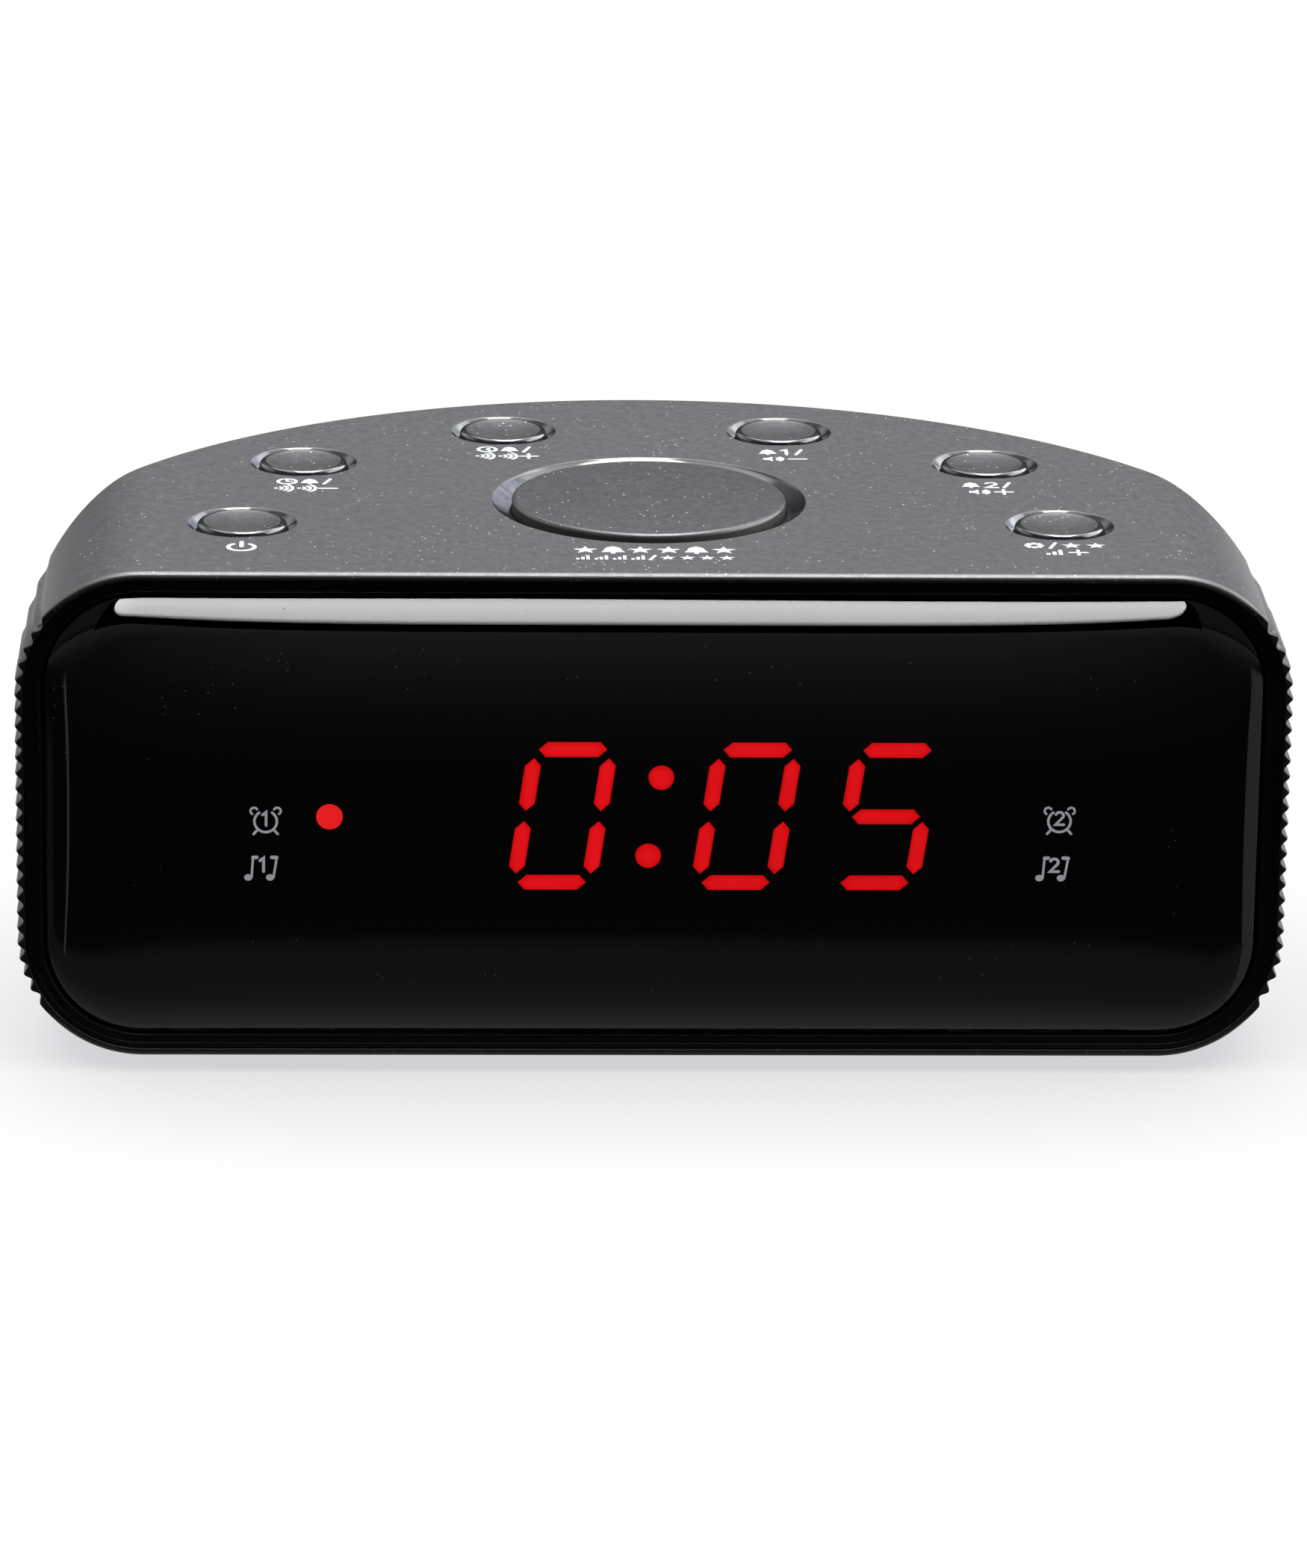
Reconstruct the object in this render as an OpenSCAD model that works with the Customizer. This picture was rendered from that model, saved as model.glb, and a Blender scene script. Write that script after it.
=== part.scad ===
// Bedside clock radio: half-round cabinet, crowned smoked lens, seven top keys,
// mains transformer, speaker, radio board and LED display on four rubber feet.
// Origin: centre of the cabinet's footprint on its flat underside.
// +Z up, the display faces -Y, millimetres.

/* [Cabinet] */
// Width of the cabinet
body_w = 150; // [148:0.5:152]
// Height of the cabinet without its feet
body_h = 59.8; // [59.4:0.1:60.2]
// Depth from the front rim to the back of the curve
body_d = 78.8; // [78.4:0.1:79.4]
// Radius of the four long corners
corner_r = 14.8; // [14:0.1:15.4]
// Wall thickness of the cabinet
wall = 2; // [1.8:0.1:2.2]
// Distance between two side ribs
rib_pitch = 1.92; // [1.8:0.02:2.1]
// Depth of the grooves between the ribs
rib_depth = 0.4; // [0.2:0.05:0.5]
// Height of the rubber feet below the underside
feet_h = 2; // [1.5:0.1:3]

/* [Display] */
// Width of the lens
lens_w = 143.4; // [142:0.1:143.6]
// Height of the lens
lens_h = 54.1; // [53.5:0.1:54.4]
// Corner radius of the lens
lens_r = 11.5; // [10:0.5:13]
// How far the lens stands in front of the rim at its middle
lens_crown = 1.6; // [1:0.1:2.2]
// Height of the lit digits
digit_h = 18.4; // [17:0.1:19]
// Width of the lit digits
digit_w = 11; // [10:0.1:11.4]
// Width of a digit's segment
seg_t = 1.9; // [1.4:0.1:2.2]
// Lean of the digits
digit_slant = 8.2; // [0:0.1:10]

/* [Keys] */
// Radius of a small key cap
cap_r = 5.35; // [5.2:0.05:5.4]
// Radius of the countersink round a small key
recess_r = 6.4; // [6.2:0.1:6.6]
// Radius of the snooze key cap
snooze_r = 16.5; // [16.2:0.1:16.6]
// Radius of the countersink round the snooze key
snooze_recess_r = 18.8; // [18.4:0.1:19]
// Radial running clearance of a key in its hole
key_gap = 0.08; // [0.05:0.01:0.1]
// How far the key caps stand above the top
cap_proud = 0.2; // [0:0.05:0.4]

/* [Inside] */
// Radius of the loudspeaker's rim
speaker_r = 23; // [22.6:0.1:23.2]
// Diameter of a backup battery cell
cell_d = 10.5; // [10:0.1:10.6]
// Length of a backup battery cell
cell_l = 44.5; // [44:0.1:44.8]
// Diameter of the mains cord
cord_d = 4; // [3.4:0.1:4]

/* [Hidden] */
$fn = 48;

// colours used by more than one node
CABINET_GREY = [0.30, 0.30, 0.315];
COVER_BLACK = [0.10, 0.10, 0.105];
RUBBER_BLACK = [0.06, 0.06, 0.06];
PLUNGER_RED = [0.75, 0.1, 0.1];
BOARD_TAN = [0.55, 0.42, 0.20];
WIRE_RED = [0.7, 0.1, 0.1];

// cabinet planes
FRONT = -body_d / 2;             // front rim plane
CURVE_R = body_w / 2;            // radius of the curved back
CURVE_Y = FRONT + body_d - CURVE_R; // centre of the curved back
TOP = body_h;
ROOF = TOP - wall + 0.1;         // posts end here, just inside the roof
MIDDLE_Z = body_h / 2;
FLOOR = -feet_h;
LENS_Z = 30;                     // lens centre height

// key positions in plan
POWER = [-48.7, -17.8];
HOUR = [-41.7, 9.1];
MINUTE = [-17.1, 23.8];
ALARM1 = [17.1, 23.8];
ALARM2 = [41.7, 9.1];
SET = [48.7, -17.8];
SMALL_KEYS = [POWER, HOUR, MINUTE, ALARM1, ALARM2, SET];
SNOOZE = [0, -7.2];

// key and board heights
FLANGE_TOP = TOP - 4.1;
FLANGE_BOTTOM = FLANGE_TOP - 1.2;
COLLAR_BOTTOM = TOP - 4;
BOARD_T = 1.6;                   // thickness of both boards
BOARD_TOP = 46;                  // top of the main board
BOARD_BOTTOM = BOARD_TOP - BOARD_T;
PLUNGER_TOP = BOARD_TOP + 5;

// depths of the display stack
REBATE_Y = FRONT + 6.2;          // seat of the bezel in the cabinet
LUG_Y = FRONT + 12;              // back of the bezel lugs
DISPLAY_Y = FRONT + 11;          // front face of the display board
DISPLAY_BACK = DISPLAY_Y + BOARD_T;

// fixing points, x and y
COLUMNS = [[-52, -27], [52, -27], [-30, 22], [30, 22]];       // cabinet screw columns
BOARD_POSTS = [[-30, -20], [30, -20], [-30, 14], [30, 14]];
FEET = [[-51.6, -19.3], [51.6, -19.3], [-19, 21], [19, 21]];
// fixing points, x and z
LUGS = [[-70, 18], [70, 18], [-70, 42], [70, 42]];            // bezel lugs
DISPLAY_BOSSES = [[-46.8, 8.5], [46.8, 8.5], [-46.8, 51.4], [46.8, 51.4]];

SPEAKER = [-31, -5];             // speaker axis
SPEAKER_RIM_TOP = 4.1;
SPEAKER_SCREWS = [for (a = [104, 215, 20]) SPEAKER + (speaker_r + 2.3) * [cos(a), sin(a)]];
TRANSFORMER = [17, 11.4, 2.5];   // transformer base centre
BRACKET_HOLE_X = 17.8;           // bracket holes either side of that centre
TRANSFORMER_SCREWS = [for (side = [-1, 1])
  [TRANSFORMER.x + side * BRACKET_HOLE_X, TRANSFORMER.y]];

// inside of the battery bay and outline of its door
BAY_X = [-5.9, 43.6];
BAY_Y = [-25.6, -0.6];
DOOR_X = [-4.9, 42.6];
DOOR_Y = [-24.6, -2.8];
CELL_Y = [-18.3, -7.6];
CELL_Z = 7.5;

// outlets in the curved back
CORD_ANGLE = 15;                 // from the rear centre line, towards -X
ANTENNA_ANGLE = -35;
OUTLET_Z = 11;
CORD_R = cord_d / 2;

// ---------- shared shapes ----------
function grow(range, by) = [range[0] - by, range[1] + by];
function around(middle, half) = [middle - half, middle + half];
function reversed(list) = [for (i = [len(list) - 1:-1:0]) list[i]];
function arc(centre, radius, a0, a1, steps) = [for (i = [0:steps])
  let (a = a0 + (a1 - a0) * i / steps) centre + radius * [cos(a), sin(a)]];
function rounded_rect(w, h, r, steps) = [
  for (quarter = [0:3])
    let (
      side_x = (quarter == 0 || quarter == 3) ? 1 : -1,
      side_y = quarter < 2 ? 1 : -1
    )
    for (i = [0:steps])
      let (a = quarter * 90 + i * 90 / steps)
        [side_x * (w / 2 - r) + r * cos(a), side_y * (h / 2 - r) + r * sin(a)]];

// block between the ends of three ranges
module box(xs, ys, zs)
  translate([xs[0], ys[0], zs[0]])
    cube([xs[1] - xs[0], ys[1] - ys[0], zs[1] - zs[0]]);
// cylinder along Z at [x, y]
module z_rod(at, radius, z0, z1, sides = 48)
  translate([at[0], at[1], z0]) cylinder(r = radius, h = z1 - z0, $fn = sides);
// cylinder along Y at [x, z]
module y_rod(at, radius, y0, y1, sides = 48)
  translate([at[0], y0, at[1]]) rotate([-90, 0, 0])
    cylinder(r = radius, h = y1 - y0, $fn = sides);
// prism along Y with its outline in X and Z
module y_prism(points, y0, y1, x = 0, z = 0)
  translate([x, y1, z]) rotate([90, 0, 0]) linear_extrude(y1 - y0) polygon(points);
// prism along X with its outline in Y and Z
module x_prism(points, x0, x1, z = 0)
  translate([x0, 0, z]) rotate([90, 0, 90]) linear_extrude(x1 - x0) polygon(points);
module rounded_prism(w, h, r, y0, y1, z = MIDDLE_Z, steps = 8)
  y_prism(rounded_rect(w, h, r, steps), y0, y1, z = z);

// turns +Z to a direction
module aim(direction)
  rotate([0, acos(direction.z / norm(direction)), atan2(direction.y, direction.x)])
    children();
// straight rod that runs on past its two ends by before and after
module rod_between(from, to, radius, sides, before = 0, after = 0) {
  run = to - from;
  length = norm(run);
  translate(from - run * before / length) aim(run)
    cylinder(r = radius, h = length + before + after, $fn = sides);
}
// straight eight-sided rods through points, overlapping a little at each bend
module wire(points, radius) {
  last = len(points) - 2;
  overlap = radius * 0.45;
  for (i = [0:last])
    rod_between(points[i], points[i + 1], radius, 8,
      before = i == 0 ? 0 : overlap, after = i == last ? 0 : overlap);
}

// frame of an outlet: +Z runs out radially through the curved back
module outlet_frame(angle)
  translate([0, CURVE_Y, OUTLET_Z]) rotate([-90, 0, angle]) children();
module outlet(angle, radius, from, to)
  outlet_frame(angle) translate([0, 0, from]) cylinder(r = radius, h = to - from);
// point at a distance from the curve's centre along an outlet's direction
function outlet_point(angle, distance, z) =
  [-sin(angle) * distance, CURVE_Y + cos(angle) * distance, z];

// ---------- cabinet ----------
// D-shaped plan, inset from the outside
module d_plan(inset, z0, z1) {
  z_rod([0, CURVE_Y], CURVE_R - inset, z0, z1, 96);
  box([-CURVE_R + inset, CURVE_R - inset], [FRONT - 1, CURVE_Y], [z0, z1]);
}
// plan of the bottom cover's opening, inset from its outer step
module cover_plan(inset, z0, z1) intersection() {
  box([-57 + inset, 57 - inset], [-32 + inset, 60], [z0, z1]);
  z_rod([0, CURVE_Y], 70.5 - inset, z0 - 1, z1 + 1, 96);
}
COVER_STEP = 1.2;                // width of the step in the cover's edge
COVER_GAP = 0.15;                // clearance round the cover

// grooves round the sides and back
module rib_grooves() {
  count = 24;
  first = MIDDLE_Z + 0.5 - count * rib_pitch / 2;
  crest = CURVE_R + 0.25;
  clear = CURVE_R + 2;
  teeth = [for (i = [0:count]) each [
    [crest, first + i * rib_pitch - rib_pitch / 2],
    [CURVE_R - rib_depth, first + i * rib_pitch]]];
  end = first + count * rib_pitch + rib_pitch / 2;
  profile = concat([[clear, first - rib_pitch / 2]], teeth, [[crest, end], [clear, end]]);
  translate([0, CURVE_Y, 0]) rotate_extrude(angle = 180, $fn = 96) polygon(profile);
  for (side = [0, 1]) mirror([side, 0, 0]) y_prism(profile, FRONT - 1, CURVE_Y);
}
module shell_walls() difference() {
  intersection() {
    rounded_prism(body_w + 0.04, body_h, corner_r, FRONT, -FRONT + 1);
    d_plan(0, -1, TOP + 1);
  }
  intersection() {
    rounded_prism(body_w - 2 * wall + 0.04, body_h - 2 * wall, corner_r - wall,
      FRONT - 1, -FRONT + 1);
    d_plan(wall, -1, TOP + 1);
  }
  rib_grooves();
  // rebate for the bezel
  rounded_prism(body_w - 1.8, body_h - 1.8, corner_r - 0.9, FRONT - 1, REBATE_Y);
  // opening for the bottom cover, stepped so that the cover seats from below
  cover_plan(0, -1, 1.1);
  cover_plan(COVER_STEP, 1, 3);
}
module key_collar(at, radius) z_rod(at, radius, COLLAR_BOTTOM, ROOF);
// running hole with a countersink at the top
module key_hole(at, key_r, sink_r, sink_depth) {
  z_rod(at, key_r + key_gap, COLLAR_BOTTOM - 1, TOP + 1);
  translate([at.x, at.y, TOP - sink_depth])
    cylinder(r1 = key_r + key_gap, r2 = sink_r, h = sink_depth + 0.001);
  z_rod(at, sink_r, TOP, TOP + 1);
}
module cabinet_shell() color(CABINET_GREY) difference() {
  union() {
    shell_walls();
    for (p = SMALL_KEYS) key_collar(p, recess_r + 0.8);
    key_collar(SNOOZE, snooze_recess_r + 0.3);
    for (p = COLUMNS) z_rod(p, 3, 3, ROOF);
    for (p = BOARD_POSTS) z_rod(p, 2.6, BOARD_TOP, ROOF);
    for (p = LUGS) y_rod(p, 3.2, REBATE_Y, LUG_Y);
    outlet(CORD_ANGLE, 5.4, CURVE_R - 3.6, CURVE_R + 0.5);
  }
  for (p = SMALL_KEYS) key_hole(p, cap_r, recess_r, 1);
  key_hole(SNOOZE, snooze_r, snooze_recess_r, 1.3);
  for (p = COLUMNS) z_rod(p, 1.35, 2, 15);
  for (p = BOARD_POSTS) z_rod(p, 0.95, BOARD_TOP - 1, BOARD_TOP + 7);
  for (p = LUGS) y_rod(p, 1.2, FRONT + 5, LUG_Y + 1);
  outlet(CORD_ANGLE, 3.5, CURVE_R - 6, CURVE_R + 3);
  outlet(ANTENNA_ANGLE, 0.9, CURVE_R - 6, CURVE_R + 3);
}
module front_bezel() color([0.06, 0.06, 0.065]) difference() {
  union() {
    rounded_prism(body_w - 2, body_h - 2, corner_r - 1, FRONT + 0.25, FRONT + 6);
    for (p = DISPLAY_BOSSES) y_rod(p, 2, FRONT + 5.5, DISPLAY_Y);
  }
  // lens seat and window
  rounded_prism(lens_w + 0.3, lens_h + 0.3, lens_r + 0.15, FRONT - 1, FRONT + 2.6, LENS_Z);
  rounded_prism(126, 37.8, 5, FRONT, FRONT + 7, 29.9);
  for (p = LUGS) y_rod(p, 0.95, FRONT + 3.4, FRONT + 7);
  for (p = DISPLAY_BOSSES) y_rod(p, 0.95, FRONT + 5, FRONT + 12);
}

LENS_BACK = FRONT + 2.5;
LENS_EDGE = FRONT + 0.9;         // where the rounding of the lens's edge begins
LENS_ROUND = 3.4;                // radius of that rounding across the face
// rounded edge of the lens: [y, distance in from the edge]
function lens_edge(step_angle, depth, bow) = [for (i = [1:6]) let (a = i * step_angle)
  [LENS_EDGE - depth * sin(a) - bow * (i / 6), LENS_ROUND * (1 - cos(a))]];
module display_lens() color([0.05, 0.045, 0.05, 0.75]) {
  half_w = lens_w / 2;
  half_h = lens_h / 2;
  crown_y = FRONT - lens_crown;
  side_edge = lens_edge(13, 0.9, 0.18);
  plan_edge = lens_edge(14, 1.1, 0);
  // side section [y, z]: flat back, crowned front, rounded upper and lower edges
  side = concat(
    [[LENS_BACK, -half_h], [LENS_BACK, half_h], [LENS_EDGE, half_h]],
    [for (p = side_edge) [p[0], half_h - p[1]]],
    [for (i = [-8:8]) let (u = -i / 8)
      [crown_y + (lens_crown - 0.3) * pow(abs(u), 2.2), u * (half_h - LENS_ROUND)]],
    [for (p = reversed(side_edge)) [p[0], p[1] - half_h]],
    [[LENS_EDGE, -half_h]]);
  // plan section [x, y]
  plan = concat(
    [[-half_w, LENS_BACK], [half_w, LENS_BACK], [half_w, LENS_EDGE]],
    [for (p = plan_edge) [half_w - p[1], p[0]]],
    [[half_w - 8, crown_y - 0.2], [-half_w + 8, crown_y - 0.2]],
    [for (p = reversed(plan_edge)) [p[1] - half_w, p[0]]],
    [[-half_w, LENS_EDGE]]);
  intersection() {
    rounded_prism(lens_w, lens_h, lens_r, FRONT - 4, LENS_BACK, LENS_Z, 10);
    x_prism(side, -half_w - 1, half_w + 1, LENS_Z);
    translate([0, 0, LENS_Z - half_h - 1]) linear_extrude(lens_h + 2) polygon(plan);
  }
}

BOSS_BASE = 1.9;                 // bosses start just inside the cover's plate
module bottom_cover() color(COVER_BLACK) difference() {
  union() {
    cover_plan(COVER_GAP, 0, 1);
    cover_plan(COVER_STEP + COVER_GAP, 1, 2);
    for (p = COLUMNS) z_rod(p, 3, BOSS_BASE, 2.95);
    // battery bay walls and roof
    box(grow(BAY_X, 1.2), [BAY_Y[0] - 1.1, BAY_Y[1] + 1.2], [BOSS_BASE, 14.4]);
    for (p = SPEAKER_SCREWS) z_rod(p, 2.2, BOSS_BASE, SPEAKER_RIM_TOP);
    // transformer pad and bosses
    box(around(TRANSFORMER.x, 14), around(TRANSFORMER.y, 6), [BOSS_BASE, TRANSFORMER.z]);
    for (p = TRANSFORMER_SCREWS) z_rod(p, 2.5, BOSS_BASE, TRANSFORMER.z);
  }
  for (p = COLUMNS) {
    z_rod(p, 1.7, -1, 4);
    z_rod(p, 2.9, -1, 1.4);
  }
  box(BAY_X, BAY_Y, [2, 13.2]);
  // door opening, with a ledge above the door
  box(grow(DOOR_X, 0.1), grow(DOOR_Y, 0.1), [-1, 1.55]);
  box(grow(DOOR_X, -1.2), [DOOR_Y[0] + 1.2, DOOR_Y[1] + 0.1], [1, 3]);
  // speaker grille: slots 3 mm apart inside a circle
  for (x = [-15:3:15])
    box(around(SPEAKER.x + x, 0.7), around(SPEAKER.y, sqrt(17 * 17 - x * x)), [-1, 3]);
  // cooling slots
  for (i = [0:4]) box([36.5 + i * 3.2, 38.3 + i * 3.2], [1, 4.5], [-1, 3]);
  for (p = FEET) z_rod(p, 4.6, -1, 0.8);
  for (p = SPEAKER_SCREWS) z_rod(p, 0.95, 1.2, 5);
  for (p = TRANSFORMER_SCREWS) z_rod(p, 0.95, 0.9, 5);
  // shallow seat for the rating plate
  box([-13, 13], [1.8, 16], [-1, 0.25]);
}
module battery_door() color(COVER_BLACK) difference() {
  front = DOOR_Y[0];
  rear = DOOR_Y[1];
  union() {
    box(DOOR_X, DOOR_Y, [0, 1.5]);
    // tongues that hook over the cover's edge at the rear
    for (x = [4.6, 29.1]) {
      box([x, x + 4], [rear - 2.4, rear + 1.4], [2.15, 2.7]);
      box([x, x + 4], [rear - 2.4, rear - 0.6], [1.4, 2.3]);
    }
    // latch spring at the front
    box([14.6, 23.1], [front + 1.7, front + 2.4], [1.4, 3.6]);
  }
  // finger scoop
  translate([18.85, front + 5.5, -5.2]) sphere(r = 6, $fn = 48);
}
module rubber_feet() color([0.08, 0.08, 0.08]) {
  foot_r = 4.5;
  chamfer = 0.4;
  for (p = FEET) {
    z_rod(p, foot_r, FLOOR + chamfer, 0.8);
    translate([p.x, p.y, FLOOR]) cylinder(r1 = 4, r2 = foot_r, h = chamfer);
  }
}
module rating_plate() color([0.75, 0.75, 0.76]) box([-12.8, 12.8], [2, 15.8], [0.02, 0.25]);

// ---------- keys ----------
CAP_TOP = TOP + cap_proud;
// turned profile [radius, z]: stem, flange, rounded rim and dished top
module small_key(at) {
  rim = 0.6;
  dish_r = cap_r - 0.8;
  translate([at.x, at.y, 0]) rotate_extrude() polygon(concat(
    [[0, PLUNGER_TOP], [1.6, PLUNGER_TOP], [1.6, FLANGE_BOTTOM],
     [cap_r + 0.95, FLANGE_BOTTOM], [cap_r + 0.95, FLANGE_TOP], [cap_r, FLANGE_TOP]],
    arc([cap_r - rim, CAP_TOP - rim], rim, 0, 110, 5),
    [for (i = [1:6]) let (x = dish_r * (1 - i / 6))
      [x, CAP_TOP - 0.04 - 0.5 * (1 - pow(x / dish_r, 2))]]));
}
// turned profile [radius, z]: stem, hollow cap, flange, rounded rim and domed top
module snooze_button() color(CABINET_GREY) {
  rim = 0.9;
  roof = TOP - 2.2;
  inner_r = snooze_r - 1.6;
  flange_r = snooze_r + 1.2;
  // [share of the cap's radius, height above the rim]
  dome = [[0.75, 0.16], [0.5, 0.28], [0.25, 0.36], [0, 0.38]];
  translate([SNOOZE.x, SNOOZE.y, 0]) rotate_extrude($fn = 96) polygon(concat(
    [[0, PLUNGER_TOP], [2.2, PLUNGER_TOP], [2.2, roof], [inner_r, roof],
     [inner_r, FLANGE_BOTTOM], [flange_r, FLANGE_BOTTOM], [flange_r, FLANGE_TOP],
     [snooze_r, FLANGE_TOP]],
    arc([snooze_r - rim, CAP_TOP - rim], rim, 0, 80, 4),
    [for (p = dome) [snooze_r * p[0], CAP_TOP + p[1]]]));
}
module power_button() color(CABINET_GREY) small_key(POWER);
module hour_tune_down_button() color(CABINET_GREY) small_key(HOUR);
module minute_tune_up_button() color(CABINET_GREY) small_key(MINUTE);
module alarm1_volume_down_button() color(CABINET_GREY) small_key(ALARM1);
module alarm2_volume_up_button() color(CABINET_GREY) small_key(ALARM2);
module set_memory_button() color(CABINET_GREY) small_key(SET);

module plunger(at) z_rod(at, 1.72, BOARD_TOP + 1.2, PLUNGER_TOP);
module snooze_switch_plunger() color(PLUNGER_RED) plunger(SNOOZE);
module power_switch_plunger() color(PLUNGER_RED) plunger(POWER);
module hour_switch_plunger() color(PLUNGER_RED) plunger(HOUR);
module minute_switch_plunger() color(PLUNGER_RED) plunger(MINUTE);
module alarm1_switch_plunger() color(PLUNGER_RED) plunger(ALARM1);
module alarm2_switch_plunger() color(PLUNGER_RED) plunger(ALARM2);
module set_switch_plunger() color(PLUNGER_RED) plunger(SET);
module key_switch_housings() color([0.12, 0.12, 0.13]) {
  height = 3.5;
  for (p = concat(SMALL_KEYS, [SNOOZE])) difference() {
    box(around(p.x, 3), around(p.y, 3), [BOARD_TOP, BOARD_TOP + height]);
    z_rod(p, 1.8, BOARD_TOP + 0.4, BOARD_TOP + height + 1);
  }
}

// ---------- boards ----------
module main_board() color(BOARD_TAN) difference() {
  below = BOARD_TOP - 3;
  above = BOARD_TOP + 1;
  intersection() {
    box([-58, 58], [-24, 31], [BOARD_BOTTOM, BOARD_TOP]);
    z_rod([0, CURVE_Y], 67, below, above, 96);
  }
  // clearance for the two rear columns
  for (p = [COLUMNS[2], COLUMNS[3]]) z_rod(p, 3.4, below, above);
  for (p = BOARD_POSTS) z_rod(p, 1.25, below, above);
}
module display_board() color(BOARD_TAN) difference() {
  box([-48, 48], [DISPLAY_Y, DISPLAY_BACK], [5.4, 54.6]);
  for (p = DISPLAY_BOSSES) y_rod(p, 1.25, DISPLAY_Y - 1, DISPLAY_Y + 3);
}

// ---------- display ----------
DIGIT_X = [-27.2, -10.7, 11.1, 27.6];
DIGIT_Z = 28.85;
SEG_Y = FRONT + 4;               // face of the digits
SEG_BACK = SEG_Y + 1.2;
SEG_GAP = 0.03;                  // clearance round a segment in its pocket
COLON = [[0.95, 33.63], [-0.5, 23.92]];                              // dots, x and z
LEDS = [[-38.2, 28.3], [-38.2, 22.35], [40.4, 28.3], [40.4, 22.35]]; // x and z
// segments 0 to 6: top, upper right, lower right, bottom, lower left, upper left, middle
SEG_SIDE = [0, 1, 1, 0, -1, -1, 0];
SEG_LEVEL = [1, 1, -1, -1, -1, 1, 0];
// segments of each digit
LIT = [[], [0, 1, 2, 3, 4, 5], [0, 1, 2, 3, 4, 5], [0, 2, 3, 5, 6]];
UNLIT = [[0, 1, 2, 3, 4, 5, 6], [6], [6], [1, 4]];

// upright outline of one segment with pointed ends, narrowed by inset
function segment_points(index, inset) =
  let (
    half_h = digit_h / 2,
    half_w = digit_w / 2 - 0.13,
    half_t = (seg_t - 2 * inset) / 2,
    axis = seg_t / 2,            // from the digit's edge to a segment's middle line
    start = axis + 0.35 + inset,
    x_end = half_w - start,
    y_end = half_h - start,
    side = SEG_SIDE[index],
    level = SEG_LEVEL[index],
    flat = [[-x_end, 0], [half_t - x_end, half_t], [x_end - half_t, half_t],
      [x_end, 0], [x_end - half_t, -half_t], [half_t - x_end, -half_t]],
    upright = [[0, start], [half_t, start + half_t], [half_t, y_end - half_t],
      [0, y_end], [-half_t, y_end - half_t], [-half_t, start + half_t]]
  )
  side == 0
    ? [for (p = flat) p + [0, level * (half_h - axis)]]
    : [for (p = upright) [p.x + side * (half_w - axis), level * (p.y - axis + 0.25)]];
// the lean is a shear of the outline
module segment(digit, index, inset, y0, y1)
  y_prism([for (p = segment_points(index, inset)) [p.x + p.y * tan(digit_slant), p.y]],
    y0, y1, DIGIT_X[digit], DIGIT_Z);
module segments(table)
  for (digit = [0:3]) for (index = table[digit])
    segment(digit, index, SEG_GAP, SEG_Y, SEG_BACK);

module led_display_housing() color([0.09, 0.09, 0.1]) difference() {
  box([-36.3, 36.7], [SEG_Y, DISPLAY_Y], around(DIGIT_Z, 13));
  for (digit = [0:3]) for (index = [0:6]) segment(digit, index, 0, SEG_Y - 1, SEG_BACK);
  for (p = COLON) y_rod(p, 1.55, SEG_Y - 1, SEG_BACK, 32);
}
module led_segments_lit() color([1, 0.05, 0.03]) {
  segments(LIT);
  for (p = COLON) y_rod(p, 1.5, SEG_Y, SEG_BACK, 32);
}
module led_segments_unlit() color([0.25, 0.08, 0.08]) segments(UNLIT);
// round LED with a bevelled tip and a foot flange
module led(at) {
  tip = FRONT + 5.2;
  y_rod(at, 1.6, tip, DISPLAY_Y, 32);
  translate([at[0], tip, at[1]]) rotate([90, 0, 0])
    cylinder(r1 = 1.6, r2 = 1.35, h = 0.3, $fn = 32);
  y_rod(at, 1.8, DISPLAY_Y - 1, DISPLAY_Y, 32);
}
module alarm_led_lit() color([1, 0.08, 0.05]) led(LEDS[0]);
module indicator_leds_unlit() color([0.45, 0.1, 0.1]) for (i = [1:3]) led(LEDS[i]);

// ---------- parts under the main board ----------
CHIP_TOP = 44;
// rows of pins from first_x, each size [x, y], at the y values of rows
module pins(count, pitch, first_x, size, rows, bottom)
  for (i = [0:count - 1]) for (y = rows) {
    x = first_x + i * pitch;
    box([x, x + size.x], [y, y + size.y], [bottom, BOARD_BOTTOM]);
  }
module clock_chip() color([0.07, 0.07, 0.07]) {
  box([-18, 18], [-14.5, -5.5], [40.4, CHIP_TOP]);
  pins(count = 14, pitch = 2.54, first_x = -16.8, size = [0.6, 0.6],
    rows = [-15.2, -5.4], bottom = 41.6);
}
module radio_chip() color([0.07, 0.07, 0.07]) {
  box([-6, 6], [6, 13.5], [41.6, CHIP_TOP]);
  pins(count = 8, pitch = 1.27, first_x = -4.7, size = [0.4, 0.5],
    rows = [5.4, 13.55], bottom = 42.4);
}
// [place, radius, lower end]
CAPACITORS = [[[40, -12], 5, 31.4], [[50, -4], 3.2, 35.4], [[-44, -8], 3.2, 35.4],
  [[-50, 0], 2.5, 37.4]];
module electrolytic_capacitors() color([0.09, 0.12, 0.3])
  for (c = CAPACITORS) z_rod(c[0], c[1], c[2], BOARD_BOTTOM);
module quartz_crystal() color([0.8, 0.8, 0.82]) {
  can_x = [-30, -21.6];
  can_y = [0, 3.4];
  flange_z = 43.6;
  box(can_x, can_y, [31.2, flange_z]);
  box(grow(can_x, 0.4), grow(can_y, 0.4), [flange_z, BOARD_BOTTOM]);
}
module rectifier_diodes() color([0.1, 0.1, 0.1])
  for (i = [0:3]) y_rod([24 + i * 4.4, 42.6], 1.35, -0.6, 4.6, 32);
module tuning_coils() color([0.65, 0.35, 0.15]) for (x = [-14, -20]) difference() {
  z_rod([x, 18], 2.6, 38.4, BOARD_BOTTOM, 32);
  z_rod([x, 18], 1.6, 37, 43.4, 32);
}
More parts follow.
